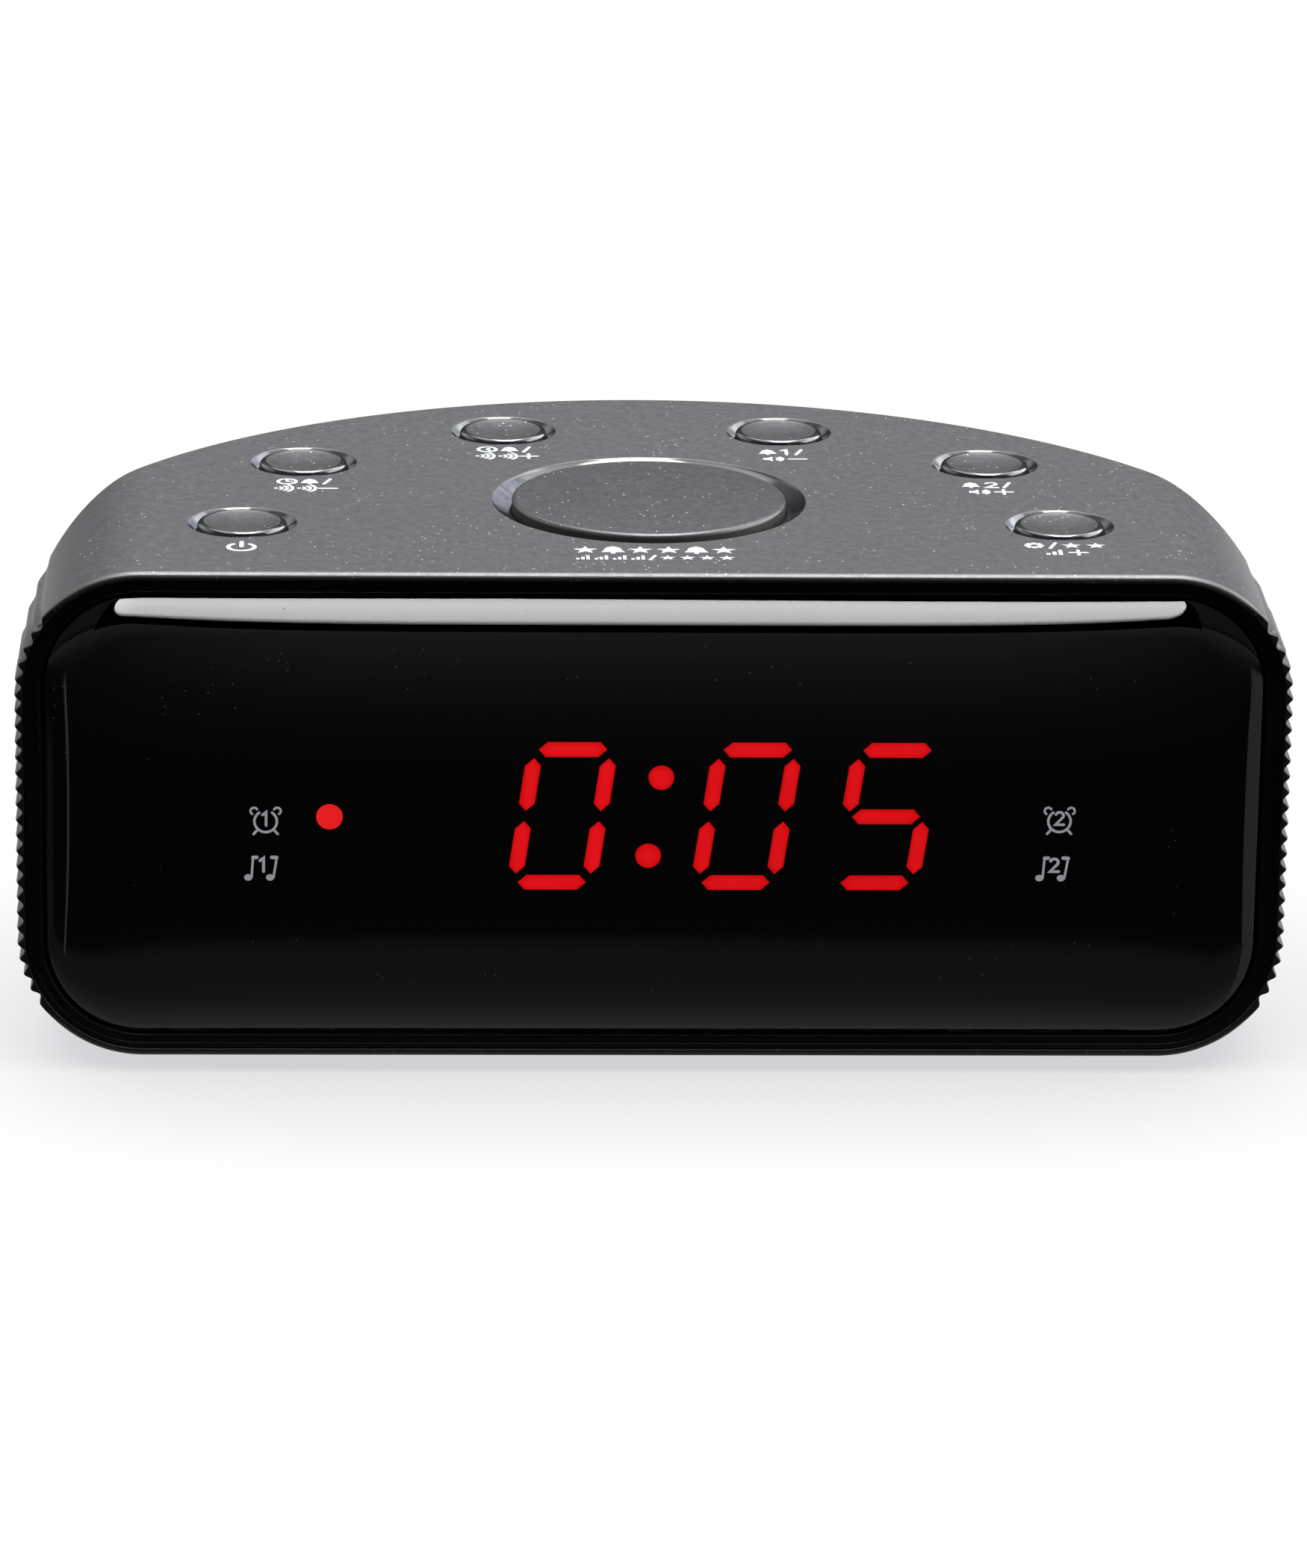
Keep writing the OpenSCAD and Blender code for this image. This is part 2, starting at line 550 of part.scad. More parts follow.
// side outline [y, z]: back from the display board, then up to the main board
module display_ribbon() color([0.75, 0.75, 0.78]) x_prism([
  [DISPLAY_BACK, 36], [-22.6, 36], [-21.9, 36.7], [-21.9, BOARD_BOTTOM],
  [-22.5, BOARD_BOTTOM], [-22.5, 37], [-22.9, 36.6], [DISPLAY_BACK, 36.6]], -10, 10);

// ---------- transformer, built about its base centre ----------
module transformer_core() color([0.35, 0.35, 0.37]) translate(TRANSFORMER) difference() {
  box([-14, 14], [-6, 6], [0, 24]);
  for (side = [-1, 1]) box(around(side * 6.6, 2.5), [-7, 7], [4.5, 19.5]);
}
module transformer_bobbin() color([0.85, 0.83, 0.75]) translate(TRANSFORMER) difference() {
  union() {
    box([-4.9, 4.9], [-7, 7], [4.7, 19.3]);
    for (z = [4.7, 18.3]) box([-8.9, 8.9], [-10.6, 10.6], [z, z + 1]);
  }
  box([-4.15, 4.15], [-6.1, 6.1], [4, 20]);
}
module transformer_winding() color([0.72, 0.35, 0.12]) translate(TRANSFORMER) difference() {
  box([-8.6, 8.6], [-10.2, 10.2], [5.75, 18.25]);
  box([-4.95, 4.95], [-7.05, 7.05], [4.75, 19.75]);
}
module transformer_bracket() color([0.7, 0.7, 0.72]) translate(TRANSFORMER) difference() {
  top = 24.85;
  outer = 14.9;
  sheet = 0.8;
  union() {
    box([-outer, outer], [-5, 5], [top - sheet, top]);
    for (side = [0, 1]) mirror([side, 0, 0]) {
      box([outer - sheet, outer], [-5, 5], [0, top]);
      box([outer - sheet, 20.6], [-4, 4], [0, sheet]);
    }
  }
  for (side = [-1, 1]) z_rod([side * BRACKET_HOLE_X, 0], 1.25, -1, 2);
}

// ---------- loudspeaker, facing down; profiles are [radius, z] ----------
MAGNET_Z = [14.2, 18.4];
module on_speaker() translate([SPEAKER.x, SPEAKER.y, 0]) children();
module speaker_frame() color([0.55, 0.56, 0.58]) on_speaker() difference() {
  rotate_extrude() polygon([
    [19.8, 2.9], [speaker_r, 2.9], [speaker_r, SPEAKER_RIM_TOP], [21.8, SPEAKER_RIM_TOP],
    [13.6, 12], [13.6, 13.2], [6.2, 13.2], [6.2, 12], [12.8, 12],
    [20.6, SPEAKER_RIM_TOP], [19.8, SPEAKER_RIM_TOP]]);
  // four openings in the basket
  for (a = [45:90:315]) rotate([0, 0, a]) translate([12, -4.5, 5.6]) cube([12, 9, 5]);
}
module speaker_magnet() color([0.12, 0.12, 0.13]) on_speaker() difference() {
  z_rod([0, 0], 12.4, MAGNET_Z[0], MAGNET_Z[1]);
  z_rod([0, 0], 5.8, 13, 19);
}
// front plate, back plate and pole
module speaker_yoke() color([0.75, 0.75, 0.77]) on_speaker() {
  difference() {
    z_rod([0, 0], 11.6, 13.2, MAGNET_Z[0]);
    z_rod([0, 0], 4.6, 12, 15);
  }
  z_rod([0, 0], 11.8, MAGNET_Z[1], 19.9);
  z_rod([0, 0], 3.55, 13, MAGNET_Z[1] + 0.05);
}
module speaker_voice_coil() color([0.72, 0.38, 0.15]) on_speaker() difference() {
  z_rod([0, 0], 4.3, 7.6, 16.2);
  z_rod([0, 0], 3.85, 7, 17);
}
module speaker_cone() color([0.08, 0.08, 0.08]) on_speaker() rotate_extrude() polygon([
  [4.3, 8.2], [17.6, 4.4], [18.4, 4.4], [18.4, 4.75], [17.7, 4.75], [4.3, 8.6]]);
module speaker_dust_cap() color([0.05, 0.05, 0.05]) on_speaker() rotate_extrude() polygon([
  [0, 6.1], [2, 6.25], [3.8, 6.8], [5.2, 7.85],
  [5.0, 7.98], [3.65, 7.05], [1.9, 6.5], [0, 6.35]]);
module speaker_surround() color([0.1, 0.1, 0.1]) on_speaker() rotate_extrude() polygon([
  [17.8, 4.05], [18.7, 4.05], [19.2, 3.5], [19.75, 2.6], [22, 2.6], [22, 2.9],
  [19.7, 2.9], [19.6, 3.6], [19.2, 4.3], [18.7, 4.4], [17.8, 4.4]]);

// ---------- battery ----------
// two cells lying along X, pointing opposite ways
module battery_cells() color([0.8, 0.62, 0.15]) {
  ends = grow(BAY_X, -4.55);
  for (i = [0, 1]) translate([ends[i], CELL_Y[i], CELL_Z]) rotate([0, i == 0 ? 90 : -90, 0]) {
    cylinder(r = cell_d / 2, h = cell_l - 1.2);
    translate([0, 0, cell_l - 1.3]) cylinder(r = 1.9, h = 1.3);
  }
}
// coil spring drawn as rings on a straight wire, from x0 towards +X or -X
module coil_spring(x0, direction, y) {
  radius = 3.2;
  for (i = [0:3]) translate([x0 + direction * (0.4 + i), y, CELL_Z]) rotate([0, 90, 0]) {
    rotate_extrude($fn = 32) translate([radius, 0]) circle(r = 0.34, $fn = 16);
    if (i < 3)
      translate([radius, 0, direction > 0 ? 0 : -1]) cylinder(r = 0.2, h = 1, $fn = 8);
  }
}
module battery_contacts() color([0.82, 0.82, 0.84]) {
  for (x = [BAY_X[0] + 0.1, BAY_X[1] - 0.4]) box([x, x + 0.3], [-23, -2.9], [3.6, 11.6]);
  coil_spring(BAY_X[0] + 0.3, 1, CELL_Y[0]);
  coil_spring(BAY_X[1] - 0.3, -1, CELL_Y[1]);
}

// ---------- fasteners ----------
// shank up from the origin, cross-slotted head below it
module screw(radius, length, head_r, head_h) {
  cylinder(r = radius, h = length, $fn = 32);
  difference() {
    translate([0, 0, -head_h]) cylinder(r = head_r, h = head_h, $fn = 32);
    for (turn = [0, 90]) rotate([0, 0, turn])
      translate([-head_r * 0.55, -0.2, -head_h - 1]) cube([head_r * 1.1, 0.4, 1.5]);
  }
}
module small_screw(length, head_r = 1.9) screw(0.9, length, head_r, 1.1);
module cabinet_screws() color([0.25, 0.25, 0.26])
  for (p = COLUMNS) translate([p.x, p.y, 1.4]) screw(1.3, 11, 2.7, 1.1);
module small_screws() color([0.7, 0.7, 0.72]) {
  for (p = BOARD_POSTS) translate([p.x, p.y, BOARD_BOTTOM]) small_screw(6.6);
  for (p = SPEAKER_SCREWS)
    translate([p.x, p.y, SPEAKER_RIM_TOP]) mirror([0, 0, 1]) small_screw(2.8, 2.9);
  for (p = TRANSFORMER_SCREWS)
    translate([p.x, p.y, TRANSFORMER.z + 0.8]) mirror([0, 0, 1]) small_screw(2.3);
  for (p = LUGS) translate([p[0], LUG_Y, p[1]]) rotate([90, 0, 0]) small_screw(8.2);
  for (p = DISPLAY_BOSSES)
    translate([p[0], DISPLAY_BACK, p[1]]) rotate([90, 0, 0]) small_screw(6.5);
}

// ---------- wiring: pairs of wires, i is the wire in the pair ----------
WIRE_TOP = 44.35;
WIRE_R = 0.55;
module speaker_wires() color(WIRE_RED) for (i = [0, 1]) wire([
  [-17.5 + i * 2, 1 + i * 1.5, 13.8],
  [-14 + i * 2, 3 + i * 1.5, 20],
  [-13 + i * 2.2, -1.5 + i * 1.2, 34],
  [-13 + i * 2.2, -1.5 + i * 1.2, WIRE_TOP]], WIRE_R);
module transformer_leads() color([0.1, 0.25, 0.6]) {
  y = TRANSFORMER.y;
  // up to the main board
  for (i = [0, 1]) wire([
    [12 + i * 4.2, y + 11.2, 20.5],
    [13 + i * 4.6, y + 13.6 - i * 0.5, 27 - i],
    [13 + i * 3.3, y + 11.6 + i * 0.3, 36 + i],
    [13 + i * 3.9, y + 11.6 - i * 0.4, WIRE_TOP]], WIRE_R);
  // across to the mains cord
  for (i = [0, 1]) wire([
    [9 + i * 3, y + 11.3, 11],
    [2 + i * 1.5, y + 13 + i * 1.6, 8],
    [-8, y + 13 + i * 2, 9 + i * 1.5],
    [-15.2 + i * 1.7, 22.2 + i * 1.4, 10.4 + i * 0.8]], 0.6);
}
module battery_wires() color(WIRE_RED) for (i = [0, 1]) wire([
  [-3 + i * 3, -22 + i * 2, 15],
  [-3 + i * 3, -21 + i * 2, 22],
  [-6 + i * 2.5, -20.4 + i * 0.2, 34],
  [-6 + i * 2.5, -20.4 + i * 0.2, WIRE_TOP]], WIRE_R);
module antenna_wire() color(RUBBER_BLACK) {
  z = FLOOR + 0.85;
  wire([
    outlet_point(ANTENNA_ANGLE, 62, OUTLET_Z),
    outlet_point(ANTENNA_ANGLE, 80, OUTLET_Z),
    outlet_point(ANTENNA_ANGLE, 88, z),
    [60, 52, z], [50, 47, z], [57, 38, z]], 0.75);
}

// ---------- mains cord, coiled behind the cabinet ----------
// angle of the two equal arcs that make a drop
function drop_angle(fall, radius) = acos(1 - fall / (2 * radius));
REST_Z = FLOOR + CORD_R + 0.08;  // height of a cord lying on the floor
// drop from the outlet to the floor, distances from the curve's centre
DROP_R = 14;
DROP_ANGLE = drop_angle(OUTLET_Z - REST_Z, DROP_R);
DROP_START = CURVE_R + 14;
DROP_END = outlet_point(CORD_ANGLE, DROP_START + 2 * DROP_R * sin(DROP_ANGLE), REST_Z);
// turn into the coil
TURN_R = 16;
TURN = DROP_END + TURN_R * [cos(CORD_ANGLE), sin(CORD_ANGLE), 0];
// coil
TURNS = 4;
COIL_R = 15;
COIL_STEP = cord_d + 0.15;
COIL_X = 24;                     // half length of the coil's straight part
COIL_NEAR = TURN.y + TURN_R;     // line of the coil's near side
COIL_FAR = COIL_NEAR + 2 * COIL_R;
LEAD_Z = REST_Z + TURNS * COIL_STEP; // level of the lead to the plug
// drop and turn to the plug
LEAD_X = 29;                     // start of the drop
PLUG_Z = FLOOR + 6.9;
PLUG_DROP_R = 10;
PLUG_DROP_ANGLE = drop_angle(LEAD_Z - PLUG_Z, PLUG_DROP_R);
PLUG_TURN_X = LEAD_X + 2 * PLUG_DROP_R * sin(PLUG_DROP_ANGLE);
PLUG_TURN_R = 15;
PLUG_Y = COIL_NEAR - 2 * PLUG_TURN_R;
PIN_Y = 9.3;                     // pins either side of the plug's axis

// arc of cord about the origin
module cord_arc(radius, a0, a1)
  rotate([0, 0, a0]) rotate_extrude(angle = a1 - a0, $fn = 48)
    translate([radius, 0]) circle(r = CORD_R, $fn = 12);
module cord_bend(centre, radius, a0, a1) translate(centre) cord_arc(radius, a0, a1);
// straight cord, running on at both ends
module cord_run(from, to, extra = 0) rod_between(from, to, CORD_R, 12, extra, extra);
// hair-thin swelling that joins two lengths of cord
module cord_join(at, direction)
  translate(at) aim(direction) translate([0, 0, -0.25])
    cylinder(r = CORD_R + 0.06, h = 0.5, $fn = 12);
// S-bend from the origin along +Y that drops from height z0 to z1 on two arcs
module cord_drop(radius, angle, z0, z1) {
  half = radius * sin(angle);
  cord_join([0, 0, z0], [0, 1, 0]);
  cord_join([0, half, (z0 + z1) / 2], [0, cos(angle), -sin(angle)]);
  cord_join([0, 2 * half, z1], [0, 1, 0]);
  translate([0, 0, z0 - radius]) rotate([0, -90, 0]) mirror([0, 1, 0])
    cord_arc(radius, -angle, 0);
  translate([0, 2 * half, z1 + radius]) rotate([0, -90, 0]) rotate([0, 0, 180])
    mirror([0, 1, 0]) cord_arc(radius, -angle, 0);
}
module mains_cord() color([0.05, 0.05, 0.05]) {
  // through the grommet and down to the floor
  translate([0, CURVE_Y, 0]) rotate([0, 0, CORD_ANGLE]) {
    cord_run([0, CURVE_R - 12, OUTLET_Z], [0, DROP_START, OUTLET_Z]);
    translate([0, DROP_START, 0]) cord_drop(DROP_R, DROP_ANGLE, OUTLET_Z, REST_Z);
  }
  cord_bend(TURN, TURN_R, 90, 180 + CORD_ANGLE);
  cord_run([TURN.x, COIL_NEAR, REST_Z], [COIL_X, COIL_NEAR, REST_Z]);
  // each turn of the coil climbs along its near side
  for (i = [0:TURNS - 1]) {
    z = REST_Z + i * COIL_STEP;
    cord_bend([COIL_X, COIL_NEAR + COIL_R, z], COIL_R, -90, 90);
    cord_run([COIL_X, COIL_FAR, z], [-COIL_X, COIL_FAR, z]);
    cord_bend([-COIL_X, COIL_NEAR + COIL_R, z], COIL_R, 90, 270);
    cord_run([-COIL_X, COIL_NEAR, z], [COIL_X, COIL_NEAR, z + COIL_STEP], 0.25);
  }
  cord_run([COIL_X, COIL_NEAR, LEAD_Z], [LEAD_X, COIL_NEAR, LEAD_Z]);
  translate([LEAD_X, COIL_NEAR, 0]) rotate([0, 0, -90])
    cord_drop(PLUG_DROP_R, PLUG_DROP_ANGLE, LEAD_Z, PLUG_Z);
  cord_bend([PLUG_TURN_X, COIL_NEAR - PLUG_TURN_R, PLUG_Z], PLUG_TURN_R, -90, 90);
  cord_run([PLUG_TURN_X, PLUG_Y, PLUG_Z], [22, PLUG_Y, PLUG_Z]);
}
// turned profile [radius, distance from the curve's centre]
module cord_grommet() color(RUBBER_BLACK) outlet_frame(CORD_ANGLE) difference() {
  rotate_extrude() polygon([for (p = [
    [0, -4.9], [4.4, -4.9], [4.4, -3.65], [3.42, -3.65], [3.42, 0.55], [4.9, 0.55],
    [4.9, 2], [4, 2.4], [3, 11], [0, 11]]) [p[0], CURVE_R + p[1]]]);
  translate([0, 0, CURVE_R - 8]) cylinder(r = CORD_R + 0.03, h = 30);
}
// two bands round the whole coil
module cord_tie() color([0.1, 0.1, 0.1]) {
  coil_y = [COIL_NEAR - CORD_R, COIL_FAR + CORD_R];
  coil_top = LEAD_Z + CORD_R;
  for (x = [-6, 6]) difference() {
    box(around(x, 1.6), grow(coil_y, 1.1), [FLOOR + 0.01, coil_top + 1.6]);
    box(around(x, 2), grow(coil_y, 0.3), [REST_Z - CORD_R - 0.03, coil_top + 0.8]);
  }
}

// frame along +X on the plug's axis, or beside it by y
module plug_frame(x, y = 0) translate([x, PLUG_Y + y, PLUG_Z]) rotate([0, 90, 0]) children();
// block with bevelled ends: full thickness to straight_y, end_half thick at end_y
module plug_block(length, straight_y, end_half, end_y) {
  half = 6.8;
  linear_extrude(length) polygon([
    [-half, -straight_y], [-end_half, -end_y], [end_half, -end_y], [half, -straight_y],
    [half, straight_y], [end_half, end_y], [-end_half, end_y], [-half, straight_y]]);
}
module mains_plug() color(RUBBER_BLACK) difference() {
  union() {
    plug_frame(26) cylinder(r1 = 5, r2 = 3.4, h = 6);
    plug_frame(6) plug_block(20.5, 9, 4, 13);
    plug_frame(2) plug_block(4.5, 11, 3, 17.5);
  }
  plug_frame(21) cylinder(r = CORD_R + 0.03, h = 20, $fn = 24);
  for (side = [-1, 1]) plug_frame(-1, side * PIN_Y) cylinder(r = 1.63, h = 9, $fn = 48);
}
// bevelled tip, pin and thinner root inside the plug
module plug_pins() color([0.85, 0.82, 0.7]) for (side = [-1, 1])
  plug_frame(-17, side * PIN_Y) {
    translate([0, 0, 1]) cylinder(r = 2, h = 18);
    cylinder(r1 = 1.2, r2 = 2, h = 1);
    translate([0, 0, 19]) cylinder(r = 1.6, h = 5);
  }

cabinet_shell();
front_bezel();
display_lens();
bottom_cover();
battery_door();
rubber_feet();
snooze_button();
power_button();
hour_tune_down_button();
minute_tune_up_button();
alarm1_volume_down_button();
alarm2_volume_up_button();
set_memory_button();
main_board();
key_switch_housings();
snooze_switch_plunger();
power_switch_plunger();
hour_switch_plunger();
minute_switch_plunger();
alarm1_switch_plunger();
alarm2_switch_plunger();
set_switch_plunger();
display_board();
led_display_housing();
led_segments_lit();
led_segments_unlit();
alarm_led_lit();
indicator_leds_unlit();
clock_chip();
radio_chip();
electrolytic_capacitors();
quartz_crystal();
rectifier_diodes();
tuning_coils();
display_ribbon();
transformer_core();
transformer_bobbin();
transformer_winding();
transformer_bracket();
speaker_frame();
speaker_magnet();
speaker_yoke();
speaker_cone();
speaker_voice_coil();
speaker_dust_cap();
speaker_surround();
battery_cells();
battery_contacts();
cabinet_screws();
small_screws();
speaker_wires();
transformer_leads();
battery_wires();
mains_cord();
cord_grommet();
cord_tie();
mains_plug();
plug_pins();
antenna_wire();
rating_plate();
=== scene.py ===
"""A clock radio with a flat front and a round back, its mains cord coiled behind it.

Lengths are in millimetres until a mesh is made. X runs across the front, left to right,
+Y points to the back and Z is up. The cabinet's underside is z = 0 and its feet stand on
z = FLOOR. The origin lies midway between the front and the back.
"""
from math import acos, asin, atan2, copysign, cos, hypot, pi, radians, sin, sqrt, tan

import bmesh
import bpy
from mathutils import Matrix, Vector


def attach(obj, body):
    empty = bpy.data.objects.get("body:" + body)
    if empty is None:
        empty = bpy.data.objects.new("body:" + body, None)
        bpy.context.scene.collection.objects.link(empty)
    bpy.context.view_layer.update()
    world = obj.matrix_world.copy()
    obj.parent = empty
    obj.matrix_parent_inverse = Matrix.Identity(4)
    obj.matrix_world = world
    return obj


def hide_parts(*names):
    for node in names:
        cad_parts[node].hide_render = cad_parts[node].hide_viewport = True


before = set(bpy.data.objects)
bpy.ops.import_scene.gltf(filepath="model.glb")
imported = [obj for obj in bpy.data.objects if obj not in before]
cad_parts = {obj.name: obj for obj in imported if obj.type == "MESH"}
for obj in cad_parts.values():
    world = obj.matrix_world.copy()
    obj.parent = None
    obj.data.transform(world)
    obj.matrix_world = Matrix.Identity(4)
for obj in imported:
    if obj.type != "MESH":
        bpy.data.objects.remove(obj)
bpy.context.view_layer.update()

# ---------------------------------------------------------------- main sizes
MM = 0.001
WIDTH, HEIGHT, DEPTH = 150.0, 59.8, 78.8
FRONT = -DEPTH / 2
BACK_R = WIDTH / 2                    # radius of the round back, seen from above
BACK_Y = FRONT + DEPTH - BACK_R       # centre of that arc
TOP = HEIGHT
CORNER = 14.8                         # corner radius, seen from the front
WALL = 2.0
FLOOR = -2.0

CORD_TURN = 15                        # degrees left of straight back where the cord leaves
ANTENNA_TURN = 35                     # degrees right of straight back for the antenna wire
OUTLET_Z = 11.0                       # height of both outlets

# node, body it rides on, centre x, centre y
KEYS = [
    ("power_button", "power_key", -48.7, -17.8),
    ("hour_tune_down_button", "hour_key", -41.7, 9.1),
    ("minute_tune_up_button", "minute_key", -17.1, 23.8),
    ("alarm1_volume_down_button", "alarm1_key", 17.1, 23.8),
    ("alarm2_volume_up_button", "alarm2_key", 41.7, 9.1),
    ("set_memory_button", "set_key", 48.7, -17.8),
]
KEY_R, KEY_SINK_R = 5.35, 6.4         # cap and countersink radii
SNOOZE_X, SNOOZE_Y = 0.0, -7.2
SNOOZE_R, SNOOZE_SINK_R = 16.5, 18.8
KEY_GAP = 0.08
FLANGE_TOP, FLANGE_LOW = TOP - 4.1, TOP - 5.3
STEM_END = 51.0


# ---------------------------------------------------------------- small maths
def unit(degrees):
    """Cosine and sine of an angle."""
    return cos(radians(degrees)), sin(radians(degrees))


def circle(count):
    return [(cos(2 * pi * i / count), sin(2 * pi * i / count)) for i in range(count)]


def smoothstep(value):
    value = min(1.0, max(0.0, value))
    return value * value * (3 - 2 * value)


def scaled(color, gain):
    return tuple(part * gain for part in color)


def grey(level):
    return (level, level, level)


# ---------------------------------------------------------------- shader graphs
class Graph:
    """Fills a node tree. An input may be given a number, a colour or another node's socket."""

    def __init__(self, owner, output="OutputMaterial"):
        owner.use_nodes = True
        self.owner, self.tree = owner, owner.node_tree
        self.tree.nodes.clear()
        self.output = self.node(output)
        self.coords = self.node("TexCoord").outputs

    def node(self, kind, inputs=None, **settings):
        node = self.tree.nodes.new("ShaderNode" + kind)
        for name, value in settings.items():
            setattr(node, name, value)
        for key, value in (inputs or {}).items():
            self.feed(node, key, value)
        return node

    def feed(self, node, key, value):
        socket = node.inputs[key]
        if isinstance(value, bpy.types.NodeSocket):
            self.tree.links.new(value, socket)
            return
        if socket.type == "RGBA" and len(value) == 3:
            value = (*value, 1)
        socket.default_value = value

    def mapping(self, scale):
        inputs = {"Scale": scale, "Vector": self.coords["Object"]}
        return self.node("Mapping", inputs).outputs["Vector"]

    def noise(self, scale, detail=3.0, rough=0.5, vector=None, distortion=0.0):
        return self.node("TexNoise", {
            "Scale": scale, "Detail": detail, "Roughness": rough, "Distortion": distortion,
            "Vector": vector or self.coords["Object"]}).outputs["Fac"]

    def voronoi(self, scale, feature="F1"):
        inputs = {"Scale": scale, "Vector": self.coords["Object"]}
        return self.node("TexVoronoi", inputs, feature=feature).outputs

    def bands(self, direction, scale, distortion):
        return self.node("TexWave", {
            "Scale": scale, "Distortion": distortion, "Vector": self.mapping((1, 1, 1))},
            wave_type="BANDS", bands_direction=direction).outputs["Fac"]

    def separate(self, vector):
        return tuple(self.node("SeparateXYZ", {0: vector}).outputs)

    def remap(self, source, span, to=(0, 1), **settings):
        """Carry the range span onto the range to, clamped."""
        return self.node("MapRange", {
            "From Min": span[0], "From Max": span[1], "To Min": to[0], "To Max": to[1],
            "Value": source}, **settings).outputs["Result"]

    def window(self, source, low, high, soft, **settings):
        """Two masks whose product is 1 between low and high."""
        return (self.remap(source, (low - soft, low + soft), **settings),
                self.remap(source, (high - soft, high + soft), (1, 0), **settings))

    def math(self, operation, *values):
        return self.node("Math", dict(enumerate(values)), operation=operation).outputs[0]

    def add(self, first, second):
        return self.math("ADD", first, second)

    def multiply(self, result, *factors):
        for factor in factors:
            result = self.math("MULTIPLY", result, factor)
        return result

    def mix(self, factor, first, second):
        inputs = {"Factor": factor, 6: first, 7: second}
        return self.node("Mix", inputs, data_type="RGBA").outputs[2]

    def mottle(self, source, first, second, span=(0.3, 0.7)):
        """Blend two colours by a noise value."""
        return self.mix(self.remap(source, span), first, second)

    def mix_shader(self, factor, first, second):
        return self.node("MixShader", {0: factor, 1: first, 2: second}).outputs[0]

    def emission(self, color, strength):
        return self.node("Emission", {"Color": color, "Strength": strength}).outputs[0]

    def bump(self, height, strength, distance, normal=None):
        inputs = {"Strength": strength, "Distance": distance, "Height": height}
        if normal:
            inputs["Normal"] = normal
        return self.node("Bump", inputs).outputs["Normal"]

    def surface(self, color, rough, metallic=0.0, normal=None, specular=0.5, coat=0.0,
                coat_rough=0.1):
        inputs = {"Base Color": color, "Roughness": rough, "Metallic": metallic,
                  "Specular IOR Level": specular, "Coat Weight": coat,
                  "Coat Roughness": coat_rough}
        if normal:
            inputs["Normal"] = normal
        node = self.node("BsdfPrincipled", inputs)
        self.finish(node.outputs[0])
        return node

    def finish(self, shader):
        self.feed(self.output, "Surface", shader)

    def camera_only(self, strength, low):
        """An emission strength that drops to the fraction low for all but camera rays."""
        camera = self.node("LightPath").outputs["Is Camera Ray"]
        return self.remap(camera, (0, 1), (strength * low, strength))

    def dust(self, scale, radius, share, patch_scale, patches, amount):
        """Sparse specks: radius fades each, share picks cells, patches gathers them."""
        cells = self.voronoi(scale)
        return self.multiply(
            self.remap(cells["Distance"], radius, (1, 0)), self.remap(cells["Color"], share),
            self.remap(self.noise(patch_scale, detail=2), patches, (0, amount)))


def material_graph(name):
    return Graph(bpy.data.materials.new(name))


# ---------------------------------------------------------------- material recipes
def graphite(name, base, rough, flake, dust):
    """Satin metallic paint with fine grain, dust and a painted highlight on convex edges. base
    is its grey level.
    """
    graph = material_graph(name)
    fine = graph.noise(4200, detail=2, rough=0.6)
    medium = graph.noise(950, rough=0.55)
    broad = graph.noise(22, detail=4, rough=0.6)
    color = graph.mottle(fine, scaled((0.86, 0.855, 0.90), base),
                         scaled((1.34, 1.33, 1.40), base), (0.35, 0.65))
    color = graph.mix(graph.remap(broad, (0.3, 0.7), (0.0, 0.16)), color,
                      scaled((0.72, 0.72, 0.75), base))
    speck = graph.dust(1350, radius=(0.08, 0.19), share=(0.63, 0.65), patch_scale=160,
                       patches=(0.42, 0.56), amount=dust)
    color = graph.mix(speck, color, (0.80, 0.80, 0.82))
    # painted highlight: convex edges made lighter, left out on level faces
    geometry = graph.node("NewGeometry").outputs
    upward = graph.math("ABSOLUTE", graph.separate(geometry["True Normal"])[2])
    edge = graph.multiply(
        graph.remap(geometry["Pointiness"], (0.53, 0.62), (0, 0.35)),
        graph.remap(medium, (0.4, 0.6), (0.3, 1)),
        graph.remap(upward, (0.997, 0.9995), (1, 0)))
    color = graph.mix(edge, color, scaled((2.1, 2.1, 2.15), base))
    normal = graph.bump(fine, strength=0.12 * flake, distance=0.00004)
    normal = graph.bump(medium, strength=0.10 * flake, distance=0.00008, normal=normal)
    rough = graph.remap(medium, (0.3, 0.7), (rough - 0.04, rough + 0.05))
    graph.surface(color, rough, metallic=0.42, normal=normal)
    return graph.owner


def gloss(name, base, rough, coat, card=0.0):
    """Polished dark plastic. The last argument sets a painted reflection: glow, seen by the
    camera only, where the face would mirror a pale card low behind it.
    """
    graph = material_graph(name)
    color = graph.mottle(graph.noise(60), base,
                         (base[0] * 1.35, base[1] * 1.35, base[2] * 1.4))
    fine = graph.noise(2600, detail=2)
    rough = graph.remap(graph.noise(300, rough=0.6), (0.35, 0.75), (rough * 0.8, rough * 1.5))
    node = graph.surface(color, rough, normal=graph.bump(fine, 0.03, 0.00003), coat=coat,
                         coat_rough=0.05)
    if card:
        # painted reflection: glow seen only by the camera where the polished face would mirror
        # the low part of the back right
        x, y, z = graph.separate(graph.coords["Reflection"])
        glow = graph.multiply(
            graph.remap(x, (0.10, 0.22)), graph.remap(y, (0.55, 0.75)),
            graph.multiply(graph.remap(z, (-0.02, 0.10)), graph.remap(z, (0.50, 0.66), (1, 0))),
            graph.remap(graph.noise(900, rough=0.6), (0.30, 0.70), (0.55, 1.25)))
        camera = graph.node("LightPath").outputs["Is Camera Ray"]
        graph.feed(node, "Emission Color", (0.82, 0.88, 1.0))
        graph.feed(node, "Emission Strength", graph.multiply(glow, card, camera))
    return graph.owner


